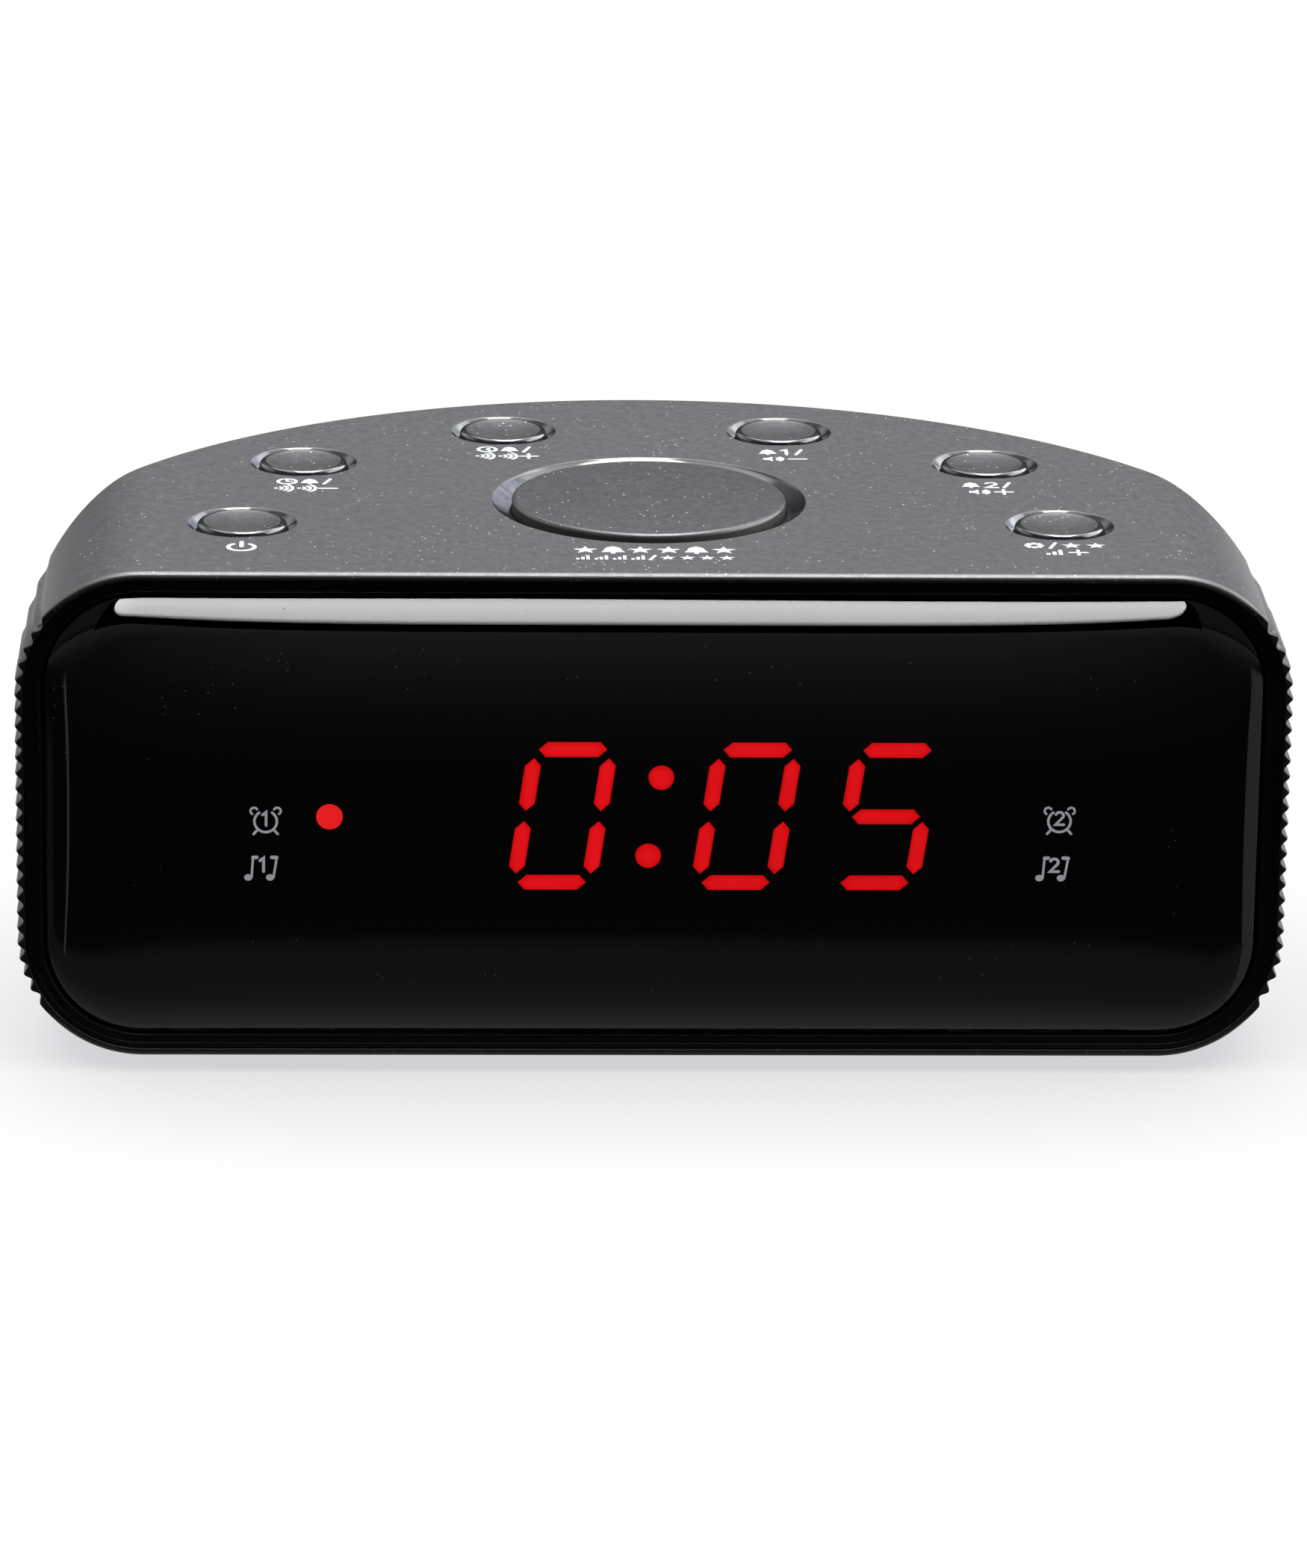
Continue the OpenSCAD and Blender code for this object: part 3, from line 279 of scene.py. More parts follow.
def plastic(name, base, rough, grain=1500, bumps=0.25, tint=(1, 1, 1.03), specular=0.45):
    """Textured moulding: grain is the texture's scale, bumps its strength."""
    graph = material_graph(name)
    fine = graph.noise(grain, rough=0.6)
    cells = graph.voronoi(grain * 0.8)
    color = graph.mottle(graph.noise(35, detail=4, rough=0.6), scaled(tint, base),
                         scaled(tint, base * 1.6), (0.25, 0.75))
    pointiness = graph.node("NewGeometry").outputs["Pointiness"]
    # painted highlight: convex edges made lighter by their pointiness
    color = graph.mix(graph.remap(pointiness, (0.54, 0.64), (0, 0.25)), color, grey(base * 4))
    height = graph.add(fine, graph.multiply(cells["Distance"], 0.6))
    graph.surface(color, graph.remap(fine, (0.3, 0.7), (rough - 0.06, rough + 0.08)),
                  normal=graph.bump(height, bumps, 0.00012), specular=specular)
    return graph.owner


def rubber(name, base, rough, grain=900, bumps=0.2):
    """Soft rubber or cable sheath with pale dust in patches."""
    graph = material_graph(name)
    fine = graph.noise(grain, detail=4, rough=0.65)
    color = graph.mottle(graph.noise(40, detail=4, rough=0.6), scaled((1, 1, 1.04), base),
                         scaled((1.7, 1.7, 1.72), base))
    dust = graph.remap(graph.noise(210, detail=5, rough=0.7), (0.60, 0.74), (0, 0.22))
    color = graph.mix(dust, color, (0.16, 0.155, 0.15))
    graph.surface(color, graph.remap(fine, (0.3, 0.7), (rough - 0.08, rough + 0.1)),
                  normal=graph.bump(fine, bumps, 0.0001), specular=0.4)
    return graph.owner


def metal(name, color, rough, grain, bumps=0.15):
    """Bare metal. grain is the noise scale along x, y and z; uneven values look brushed."""
    graph = material_graph(name)
    fine = graph.noise(1.0, detail=4, rough=0.7, vector=graph.mapping(grain))
    shade = (color[0] * 0.82, color[1] * 0.82, color[2] * 0.83)
    graph.surface(graph.mottle(graph.noise(80, detail=4, rough=0.6), color, shade),
                  graph.remap(fine, (0.2, 0.8), (rough * 0.7, rough * 1.5)),
                  metallic=1.0, normal=graph.bump(fine, bumps, 0.00005))
    return graph.owner


def printed_legend():
    graph = material_graph("printed_legend")
    fine = graph.noise(2200, rough=0.6)
    ink = (0.40, 0.42, 0.44)
    graph.surface(graph.mottle(fine, scaled(ink, 0.82), ink), rough=0.5,
                  normal=graph.bump(fine, 0.2, 0.00003), specular=0.4)
    return graph.owner


def smoked_lens(name, tint, rough=0.012, ior=1.49):
    """Tinted clear plastic that only reflects and filters, with dust on its face."""
    graph = material_graph(name)
    tinted = graph.mottle(graph.noise(18), tint, scaled(tint, 0.92))
    clear = graph.node("BsdfTransparent", {"Color": tinted}).outputs[0]
    smear = graph.noise(9, detail=4, rough=0.6, distortion=0.8)
    shine = graph.node("BsdfGlossy", {
        "Color": grey(1), "Roughness": graph.remap(smear, (0.45, 0.8), (rough, rough * 3.2))})
    fresnel = graph.node("Fresnel", {"IOR": ior}).outputs[0]
    lens_shader = graph.mix_shader(fresnel, clear, shine.outputs[0])
    speck = graph.dust(1000, radius=(0.04, 0.13), share=(0.64, 0.66), patch_scale=120,
                       patches=(0.50, 0.62), amount=0.5)
    dust = graph.node("BsdfDiffuse", {"Color": (0.35, 0.35, 0.36)}).outputs[0]
    graph.finish(graph.mix_shader(speck, lens_shader, dust))
    return graph.owner


def lens_print():
    graph = material_graph("lens_print")
    color = graph.mottle(graph.noise(1600, rough=0.6), (0.36, 0.37, 0.40), (0.46, 0.47, 0.50))
    node = graph.surface(color, rough=0.5, metallic=0.2, specular=0.3)
    # painted light: the print glows a little so that it shows behind the dark lens, though it is
    # no lamp
    graph.feed(node, "Emission Color", color)
    graph.feed(node, "Emission Strength", 0.9)
    return graph.owner


def segment_lit():
    """Red light, driven by each vertex's glow: deep at the outline, bright in the middle."""
    graph = material_graph("segment_lit")
    glow = graph.node("Attribute", attribute_name="glow").outputs["Fac"]
    uneven = graph.remap(graph.noise(260, rough=0.6), (0.25, 0.75), (0.75, 1.1))
    color = graph.mottle(graph.multiply(glow, uneven), (0.80, 0.010, 0.020),
                         (1.0, 0.040, 0.060), (0.0, 1.0))
    node = graph.surface((0.02, 0.0, 0.0), rough=0.4, specular=0.2)
    graph.feed(node, "Emission Color", color)
    graph.feed(node, "Emission Strength", graph.camera_only(5.3, low=0.15))
    return graph.owner


def lamp_lit():
    """Red light from the faces turned to the front."""
    graph = material_graph("alarm_led_on")
    red = (1.0, 0.07, 0.09)
    color = graph.mottle(graph.noise(420.0, detail=2), scaled(red, 0.86), red)
    node = graph.surface((0.03, 0.0, 0.0), rough=0.4, specular=0.3)
    graph.feed(node, "Emission Color", color)
    normal_y = graph.separate(graph.node("NewGeometry").outputs["Normal"])[1]
    facing = graph.remap(normal_y, (-0.12, -0.5))
    strength = graph.multiply(facing, graph.camera_only(5.9, low=0.12))
    graph.feed(node, "Emission Strength", strength)
    return graph.owner


def board_laminate():
    graph = material_graph("board_laminate")
    fibre = graph.noise(420, detail=5, rough=0.7)
    weave = graph.bands("X", scale=120, distortion=2.5)
    color = graph.mottle(fibre, (0.34, 0.19, 0.07), (0.46, 0.29, 0.12))
    distance = graph.voronoi(150, "DISTANCE_TO_EDGE")["Distance"]
    trace = graph.remap(distance, (0.03, 0.05), (1, 0))
    color = graph.mix(graph.multiply(trace, 0.5), color, (0.10, 0.20, 0.08))
    graph.surface(color, graph.remap(weave, (0, 1), (0.42, 0.55)),
                  normal=graph.bump(fibre, 0.15, 0.0001), specular=0.4)
    return graph.owner


def enamelled_winding():
    graph = material_graph("enamelled_winding")
    turns = graph.bands("Z", scale=420, distortion=0.6)
    copper = (0.50, 0.17, 0.05)
    graph.surface(graph.mix(turns, scaled(copper, 0.5), copper),
                  graph.remap(graph.noise(300), (0.3, 0.7), (0.22, 0.4)), metallic=0.85,
                  normal=graph.bump(turns, 0.5, 0.0002))
    return graph.owner


def cone_paper():
    graph = material_graph("cone_paper")
    pulp = graph.noise(700, detail=6, rough=0.75, distortion=1.2)
    base = grey(0.018)
    graph.surface(graph.mottle(pulp, base, scaled(base, 2.1), (0.35, 0.65)), rough=0.85,
                  normal=graph.bump(pulp, 0.5, 0.0003), specular=0.3)
    return graph.owner


# ---------------------------------------------------------------- materials
PAINT = graphite("graphite_paint", base=0.056, rough=0.40, flake=1.0, dust=0.6)
CAP_PAINT = graphite("graphite_paint_caps", base=0.052, rough=0.34, flake=0.9, dust=0.8)
RIM = gloss("polished_rim", (0.008, 0.008, 0.010), rough=0.055, coat=0.8)
# the cabinet's paint made polished and much darker: painted shade in the countersinks, and its
# card setting adds a painted reflection
SHADED_SINK = gloss("polished_countersink_shaded", (0.010, 0.010, 0.013), rough=0.085, coat=0.35, card=0.34)
BLACK = plastic("black_moulding", base=0.018, rough=0.5)
# darker copy of the cabinet's paint for the front-facing lip: painted shade
SHADED_LIP_PAINT = graphite("graphite_paint_front_shaded", base=0.005, rough=0.46, flake=0.6, dust=0.12)
INSIDE = plastic("cabinet_inside", base=0.03, rough=0.6, grain=900, bumps=0.15)
BEZEL = plastic("bezel_satin_black", base=0.002, rough=0.34, grain=2600, bumps=0.08,
                specular=0.10)
COVER = plastic("cover_spark_texture", base=0.020, rough=0.55, grain=1100, bumps=0.55)
RUBBER = rubber("foot_rubber", base=0.022, rough=0.7)
CABLE = rubber("cable_sheath", base=0.012, rough=0.42, grain=1400, bumps=0.1)
PLUG = rubber("plug_moulding", base=0.013, rough=0.5, grain=1000, bumps=0.25)
LEGEND = printed_legend()
LENS_FRONT = smoked_lens("smoked_lens_front", (0.72, 0.70, 0.72))
LENS_BACK = smoked_lens("smoked_lens_back", (0.22, 0.05, 0.05), rough=0.03, ior=1.05)
LENS_PRINT = lens_print()
SEGMENT_LIT = segment_lit()
NICKEL = metal("nickel_pins", (0.74, 0.70, 0.62), rough=0.22, grain=(900, 22.5, 22.5))
STEEL = metal("plated_steel", (0.66, 0.66, 0.68), rough=0.3, grain=(675, 675, 675))
BLACK_STEEL = metal("black_screw", (0.09, 0.09, 0.095), rough=0.35, grain=(675, 675, 675),
                    bumps=0.2)
FERRITE = plastic("ferrite", base=0.03, rough=0.6, grain=500, bumps=0.4)
CORE = metal("core_laminations", (0.26, 0.26, 0.28), rough=0.5, grain=(1350, 22.5, 22.5),
             bumps=0.6)
BOARD = board_laminate()
MASK = plastic("black_solder_mask", base=0.004, rough=0.5, grain=700, bumps=0.1)
CHIP = plastic("chip_body", base=0.016, rough=0.45, grain=1500, bumps=0.2)
HOUSING = plastic("display_housing", base=0.0035, rough=0.6, grain=900, bumps=0.1)
COIL = enamelled_winding()
BOBBIN = plastic("bobbin_nylon", base=0.55, rough=0.5, grain=700, bumps=0.15,
                 tint=(1, 0.96, 0.84))
RIBBON = plastic("ribbon_grey", base=0.42, rough=0.5, grain=800, bumps=0.15)
SLEEVE = plastic("capacitor_sleeve", base=0.03, rough=0.3, grain=400, bumps=0.08,
                 tint=(0.7, 0.9, 2.2))
RED = plastic("red_plastic", base=0.3, rough=0.4, grain=700, bumps=0.1, tint=(1.6, 0.12, 0.1))
BLUE = plastic("blue_insulation", base=0.2, rough=0.4, grain=700, bumps=0.1,
               tint=(0.25, 0.6, 1.8))
CELL = plastic("cell_sleeve", base=0.35, rough=0.32, grain=300, bumps=0.08,
               tint=(1.3, 0.95, 0.2))
PAPER = cone_paper()
FOIL = metal("rating_plate_foil", (0.5, 0.5, 0.52), rough=0.35, grain=(1350, 22.5, 22.5),
             bumps=0.2)
LAMP_LIT = lamp_lit()
LAMP_UNLIT = plastic("led_unlit", base=0.012, rough=0.3, grain=300, bumps=0.05,
                     tint=(1.8, 0.3, 0.3))
SEGMENT_UNLIT = plastic("segment_unlit", base=0.004, rough=0.5, grain=500, bumps=0.05,
                        tint=(1.3, 0.8, 0.8))


# ---------------------------------------------------------------- mesh building
class Mesh:
    """Collects vertices, faces and each face's material slot. Loops are lists of vertex ids."""

    def __init__(self):
        self.vertices, self.faces, self.slots = [], [], []

    def add(self, points):
        first = len(self.vertices)
        self.vertices.extend(tuple(point) for point in points)
        return list(range(first, len(self.vertices)))

    def face(self, ids, slot=0):
        self.faces.append(tuple(ids))
        self.slots.append(slot)

    def band(self, lower, upper, closed=True, slot=0):
        count = len(lower)
        for i in range(count if closed else count - 1):
            j = (i + 1) % count
            self.face((lower[i], lower[j], upper[j], upper[i]), slot)

    def loft(self, sections, closed=True):
        loops = [self.add(section) for section in sections]
        for lower, upper in zip(loops, loops[1:]):
            self.band(lower, upper, closed)
        return loops

    def ring_of_bands(self, loops):
        """Join each loop to the next and the last to the first."""
        for lower, upper in zip(loops, loops[1:] + loops[:1]):
            self.band(lower, upper)

    def fill(self, loops, slot=0):
        """Flat fill of the first loop, with the others as holes."""
        work = bmesh.new()
        corners = {i: work.verts.new(self.vertices[i]) for loop in loops for i in loop}
        ids = {corner: i for i, corner in corners.items()}
        edges = [work.edges.new((corners[i], corners[j]))
                 for loop in loops for i, j in zip(loop, loop[1:] + loop[:1])]
        result = bmesh.ops.triangle_fill(work, use_beauty=True, use_dissolve=False,
                                         edges=edges)
        for item in result["geom"]:
            if isinstance(item, bmesh.types.BMFace):
                self.face([ids[corner] for corner in item.verts], slot)
        work.free()

    def lathe(self, profile, place, count, slots=None, capped=False):
        """Turn (radius, station) pairs; place maps two cross offsets and a station to xyz.

        slots gives one material slot per band. A radius of 0 becomes a single point.
        """
        loops = []
        for radius, station in profile:
            offsets = circle(count) if radius else [(0, 0)]
            loops.append(self.add([place(radius * c, radius * s, station)
                                   for c, s in offsets]))
        slots = slots or [0] * (len(profile) - 1)
        for lower, upper, slot in zip(loops, loops[1:], slots):
            if len(lower) == 1:
                for i in range(count):
                    self.face((lower[0], upper[(i + 1) % count], upper[i]), slot)
            elif len(upper) == 1:
                for i in range(count):
                    self.face((lower[i], lower[(i + 1) % count], upper[0]), slot)
            else:
                self.band(lower, upper, slot=slot)
        if capped:
            self.face(loops[0][::-1], slots[0])
            self.face(loops[-1], slots[-1])
        return loops

    def tube(self, points, radii, count):
        """Sweep a circle along points, turning it no more than the path does."""
        last = len(points) - 1
        tangents = [(points[min(i + 1, last)] - points[max(i - 1, 0)]).normalized()
                    for i in range(last + 1)]
        up = Vector((0, 0, 1))
        normal = (up - up.dot(tangents[0]) * tangents[0]).normalized()
        loops = []
        for i, (point, tangent, radius) in enumerate(zip(points, tangents, radii)):
            if i:
                normal = tangents[i - 1].rotation_difference(tangent) @ normal
                normal = (normal - normal.dot(tangent) * tangent).normalized()
            side = tangent.cross(normal)
            loops.append(self.add([point + normal * (radius * c) + side * (radius * s)
                                   for c, s in circle(count)]))
        for lower, upper in zip(loops, loops[1:]):
            self.band(lower, upper)
        self.face(loops[0][::-1])
        self.face(loops[-1])

    def make(self, name, materials, angle=None, weighted=True, merge=2e-7):
        """Make the object, in metres. Without a sharp-edge angle it stays flat shaded."""
        data = bpy.data.meshes.new(name)
        data.from_pydata([(x * MM, y * MM, z * MM) for x, y, z in self.vertices], [],
                         self.faces)
        if len(materials) > 1:
            data.polygons.foreach_set("material_index", self.slots)
        for material in materials:
            data.materials.append(material)
        work = bmesh.new()
        work.from_mesh(data)
        bmesh.ops.remove_doubles(work, verts=work.verts, dist=merge)
        bmesh.ops.dissolve_degenerate(work, edges=work.edges, dist=1e-8)
        bmesh.ops.recalc_face_normals(work, faces=work.faces)
        work.to_mesh(data)
        work.free()
        item = bpy.data.objects.new(name, data)
        bpy.context.scene.collection.objects.link(item)
        if angle:
            data.polygons.foreach_set("use_smooth", [True] * len(data.polygons))
            data.set_sharp_from_angle(angle=radians(angle))
            if weighted:
                modifier = item.modifiers.new("wn", "WEIGHTED_NORMAL")
                modifier.keep_sharp = True
                modifier.weight = 80
        return item

    def make_part(self, part, materials, body="cabinet", **options):
        """Make the visual of one CAD node."""
        item = self.make(part + "_visual", materials, **options)
        stand_in(item, part, body)
        return item


def stand_in(item, part, body="cabinet"):
    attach(item, body)
    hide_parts(part)


def upright(centre_x, centre_y):
    """Placing for a lathe whose axis is vertical."""
    return lambda across, back, z: (centre_x + across, centre_y + back, z)


# ---------------------------------------------------------------- cabinet shell
RIB_PITCH, RIB_COUNT, RIB_DEPTH = 1.92, 25, 0.70
RIB_LOW = HEIGHT / 2 + 0.5 - RIB_COUNT * RIB_PITCH / 2
RIB_HIGH = RIB_LOW + RIB_COUNT * RIB_PITCH
ROWS_PER_RIB = 10
EDGE_R = 0.9                          # rounding of the round back into top and underside
SIDE_BLEND_R = 2.2                    # blend of the straight sides into the round back
SIDE_COLUMNS, BLEND_COLUMNS, BACK_COLUMNS, LINER_COLUMNS = 12, 6, 190, 48
MOUTH_R = 1.05                        # depth of the rounding round the front opening
MOUTH_IN, MOUTH_IN_RIBS = 0.82, 0.20  # its reach inwards, plain and beside the ribs
MOUTH_ROW = 80                        # steps along the top and bottom of the opening
SHELF_Y = FRONT + 6.2                 # where the lip ends and the thin wall begins
COLLAR_Z = 55.8                       # lower end of the collars round the keys
# material slots of the shell
ON_PAINT, ON_INSIDE, ON_SINK, ON_LIP = range(4)


def half_width(z):
    if z < CORNER:
        drop = CORNER - z
    elif z > HEIGHT - CORNER:
        drop = z - (HEIGHT - CORNER)
    else:
        return WIDTH / 2
    return WIDTH / 2 - CORNER + sqrt(max(0, CORNER * CORNER - drop ** 2))


def rib_depth(z):
    if z <= RIB_LOW or z >= RIB_HIGH:
        return 0.0
    phase = ((z - RIB_LOW) / RIB_PITCH) % 1.0
    return RIB_DEPTH * (0.5 - 0.5 * cos(2 * pi * phase)) ** 0.85


def pad_mask(turn, z):
    """0 on the smooth pads round the two outlets, 1 elsewhere; turn is from +Y towards +X."""
    mask = 1.0
    for centre, radius in ((-radians(CORD_TURN), 6.4), (radians(ANTENNA_TURN), 2.6)):
        distance = hypot((turn - centre) * BACK_R, z - OUTLET_Z)
        mask = min(mask, smoothstep((distance - radius) / 0.7))
    return mask


def rib_share(y):
    """Rib depth along the side: full near the front, less than half from 9 mm back."""
    return 1.0 - 0.55 * smoothstep((y - FRONT - 2.0) / 7.0)


def edge_inset(z):
    """How much the back's radius shrinks in the top and bottom rounding."""
    if z > HEIGHT - EDGE_R:
        drop = z - (HEIGHT - EDGE_R)
    elif z < EDGE_R:
        drop = EDGE_R - z
    else:
        return 0
    return EDGE_R - sqrt(max(0, EDGE_R * EDGE_R - drop ** 2))


def wall_heights():
    """Row heights: lower edge, lower corner, ribs, upper corner, upper edge."""
    heights = [round(EDGE_R * (1 - unit(90 * i / 8)[0]), 5) for i in range(9)]
    start, end = asin((heights[-1] - CORNER) / CORNER), asin((RIB_LOW - CORNER) / CORNER)
    heights += [CORNER + CORNER * sin(start + (end - start) * i / 9) for i in range(1, 9)]
    rows = RIB_COUNT * ROWS_PER_RIB
    heights += [RIB_LOW + (RIB_HIGH - RIB_LOW) * i / rows for i in range(rows + 1)]
    centre = HEIGHT - CORNER
    start = asin((RIB_HIGH - centre) / CORNER)
    end = asin((HEIGHT - EDGE_R - centre) / CORNER)
    heights += [centre + CORNER * sin(start + (end - start) * i / 9) for i in range(1, 10)]
    heights += [HEIGHT - EDGE_R + EDGE_R * unit(90 * i / 8)[1] for i in range(1, 9)]
    return heights


def wall_row(half, z, rib):
    """Plan of the outer wall at one height: right front, round the back, left front."""
    outer = BACK_R - edge_inset(z)
    radius = outer - rib
    side = min(half - rib, radius)
    blend = min(SIDE_BLEND_R, side * 0.5)
    blend_y = BACK_Y + sqrt(max(0.0, (radius - blend) ** 2 - (side - blend) ** 2))
    start = FRONT + MOUTH_R
    rear = start + 1.2
    plan = [(side, y) for y in (start, start + 0.5, rear)]
    plan += [(side, rear + (blend_y - rear) * i / SIDE_COLUMNS)
             for i in range(1, SIDE_COLUMNS + 1)]
    join = atan2(side - blend, blend_y - BACK_Y)     # direction of the join, from +Y
    for i in range(1, BLEND_COLUMNS + 1):
        angle = (pi / 2 - join) * i / BLEND_COLUMNS
        plan.append((side - blend + blend * cos(angle), blend_y + blend * sin(angle)))
    right = [(x + rib * (1 - rib_share(y)), y, z) for x, y in plan]
    back = []
    for i in range(1, BACK_COLUMNS):
        turn = join - 2 * join * i / BACK_COLUMNS
        reach = outer - rib * pad_mask(turn, z) * rib_share(BACK_Y + outer * cos(turn))
        back.append((reach * sin(turn), BACK_Y + reach * cos(turn), z))
    return right + back + [(-x, y, z) for x, y, z in reversed(right)]


def mouth_outline(sections):
    """Front opening's edge: x, z, outward normal x and z, rib depth.

    It runs up the right side, left along the top, down the left side and back.
    """
    straight = WIDTH / 2 - CORNER
    right = []
    for half, z, rib in sections:
        normal_x, normal_z = 1, 0
        if z > HEIGHT - CORNER:
            normal_x, normal_z = (half - straight) / CORNER, (z - (HEIGHT - CORNER)) / CORNER
        elif z < CORNER:
            normal_x, normal_z = (half - straight) / CORNER, (z - CORNER) / CORNER
        right.append((half, z, normal_x, normal_z, rib))
    across = [straight - 2 * straight * i / MOUTH_ROW for i in range(1, MOUTH_ROW)]
    top = [(x, TOP, 0, 1, 0) for x in across]
    left = [(-x, z, -normal_x, normal_z, rib) for x, z, normal_x, normal_z, rib in right[::-1]]
    bottom = [(-x, 0.0, 0, -1, 0) for x in across]
    return right, top, left, bottom


def mouth_lip(mesh, outline, edge):
    """Rings from the opening's edge round into the cabinet. Returns the last one."""
    previous = edge

    def ring(insets, y, slot):
        loop = mesh.add([(x - normal_x * inset, y, z - normal_z * inset)
                         for (x, z, normal_x, normal_z, _), inset in zip(outline, insets)])
        mesh.band(previous, loop, slot=slot)
        return loop

    reach = []
    for _, z, _, _, _ in outline:
        beyond_ribs = max(RIB_LOW - z, z - RIB_HIGH, 0.0)
        reach.append(MOUTH_IN_RIBS + (MOUTH_IN - MOUTH_IN_RIBS) * smoothstep(beyond_ribs / 3.0))
    # once the rounding faces the front it takes the darker copy of the paint, which is painted
    # shade
    for angle in range(10, 91, 10):
        c, s = unit(angle)
        insets = [point[4] + inward * (1 - c) for point, inward in zip(outline, reach)]
        previous = ring(insets, FRONT + MOUTH_R * (1 - s), ON_PAINT if angle < 55 else ON_LIP)
    # inset, y, slot
    for inset, y, slot in ((0.93, FRONT + 0.02, ON_LIP), (0.965, FRONT + 0.10, ON_LIP),
                           (0.98, FRONT + 0.6, ON_INSIDE), (0.98, SHELF_Y, ON_INSIDE),
                           (WALL, SHELF_Y, ON_INSIDE)):
        previous = ring([inset] * len(outline), y, slot)
    return previous


def liner(mesh, right, left):
    """Inner wall surface from the lip's right side round the back to its left side."""
    radius = BACK_R - WALL
    rows = []
    for start, end in zip(right, reversed(left)):
        x, _, z = mesh.vertices[start]
        half = min(x, radius)
        rear = BACK_Y + sqrt(max(0.0, radius ** 2 - half ** 2))
        middle = SHELF_Y + (rear - SHELF_Y) * 0.5
        join = atan2(half, rear - BACK_Y)
        turns = [join - 2 * join * i / LINER_COLUMNS for i in range(1, LINER_COLUMNS)]
        points = [(x, middle, z), (x, rear, z)]
        points += [(radius * sin(turn), BACK_Y + radius * cos(turn), z) for turn in turns]
        points += [(-x, rear, z), (-x, middle, z)]
        rows.append([start] + mesh.add(points) + [end])
    for lower, upper in zip(rows, rows[1:]):
        mesh.band(upper, lower, closed=False, slot=ON_INSIDE)
    return rows


def key_opening(mesh, x, y, cap, sink, depth, count, collar):
    """Countersunk hole with a collar below. Returns its loops in the top's two faces."""
    lip, bore = 0.28, cap + KEY_GAP
    slope_r, slope_z = sink - 0.16, TOP - 0.25
    profile = [(sink + lip, TOP), (sink + lip * 0.62, TOP - 0.012),
               (sink + lip * 0.3, TOP - 0.05), (sink, TOP - 0.12), (slope_r, slope_z)]
    profile += [(slope_r + (bore + 0.06 - slope_r) * t, slope_z - (depth - 0.3) * t)
                for t in (0.25, 0.5, 0.75, 1.0)]
    profile += [(bore, TOP - depth - 0.06), (bore, TOP - WALL), (bore, COLLAR_Z),
                (collar, COLLAR_Z), (collar, TOP - WALL)]
    slots = [ON_PAINT] * 2 + [ON_SINK] * 7 + [ON_INSIDE] * 4
    loops = mesh.lathe(profile, upright(x, y), count, slots)
    return loops[0], loops[-1]


def cover_outline(half, front, radius, z, steps=72):
    """D-shaped plan of the opening in the underside."""
    limit = asin(half / radius)
    turns = [limit - 2 * limit * i / steps for i in range(steps + 1)]
    arc = [(radius * sin(turn), BACK_Y + radius * cos(turn), z) for turn in turns]
    return [(half, front, z)] + arc + [(-half, front, z)]


def cabinet_shell():
    mesh = Mesh()
    sections = [(half_width(z), z, rib_depth(z)) for z in wall_heights()]
    outer = mesh.loft([wall_row(*section) for section in sections], closed=False)
    right, top, left, bottom = mouth_outline(sections)
    top_edge, bottom_edge = [mesh.add([(x, FRONT + MOUTH_R, z) for x, z, *_ in side])
                             for side in (top, bottom)]
    edge = ([row[0] for row in outer] + top_edge + [row[-1] for row in reversed(outer)]
            + bottom_edge)
    lip = mouth_lip(mesh, right + top + left + bottom, edge)
    side, across = len(sections), MOUTH_ROW - 1
    lip_top = lip[side:side + across]
    lip_left = lip[side + across:2 * side + across]
    lip_bottom = lip[2 * side + across:]
    inner = liner(mesh, lip[:side], lip_left)

    holes = [key_opening(mesh, x, y, KEY_R, KEY_SINK_R, depth=1.0, count=96,
                         collar=KEY_SINK_R + 0.8) for _, _, x, y in KEYS]
    holes.append(key_opening(mesh, SNOOZE_X, SNOOZE_Y, SNOOZE_R, SNOOZE_SINK_R, depth=1.3,
                             count=160, collar=SNOOZE_SINK_R + 0.3))
    mesh.fill([outer[-1] + top_edge[::-1]] + [hole[0] for hole in holes], ON_PAINT)
    mesh.fill([inner[-1] + lip_top[::-1]] + [hole[1] for hole in holes], ON_INSIDE)

    # underside, with a stepped opening for the cover
    step, step_z = 1.2, 1.1
    wide, narrow = (57, -32, 70.5), (57 - step, -32 + step, 70.5 - step)
    loops = [mesh.add(cover_outline(*plan, z)) for plan, z in (
        (wide, 0), (wide, step_z), (narrow, step_z), (narrow, WALL))]
    for lower, upper in zip(loops, loops[1:]):
        mesh.band(lower, upper, slot=ON_INSIDE)
    mesh.fill([outer[0] + bottom_edge, loops[0]], ON_PAINT)
    mesh.fill([inner[0] + lip_bottom, loops[-1]], ON_INSIDE)
    mesh.make_part("cabinet_shell", [PAINT, INSIDE, SHADED_SINK, SHADED_LIP_PAINT], angle=38, merge=1e-7)


cabinet_shell()

# ---------------------------------------------------------------- bezel and lens
LENS_W, LENS_H, LENS_R, LENS_Z = 143.4, 54.1, 11.5, 30.0
LENS_CROWN = 1.55                     # bulge of the middle towards the front
LENS_ROLL, LENS_ROLL_DEPTH = 4.6, 1.0  # width and depth of its rounded border


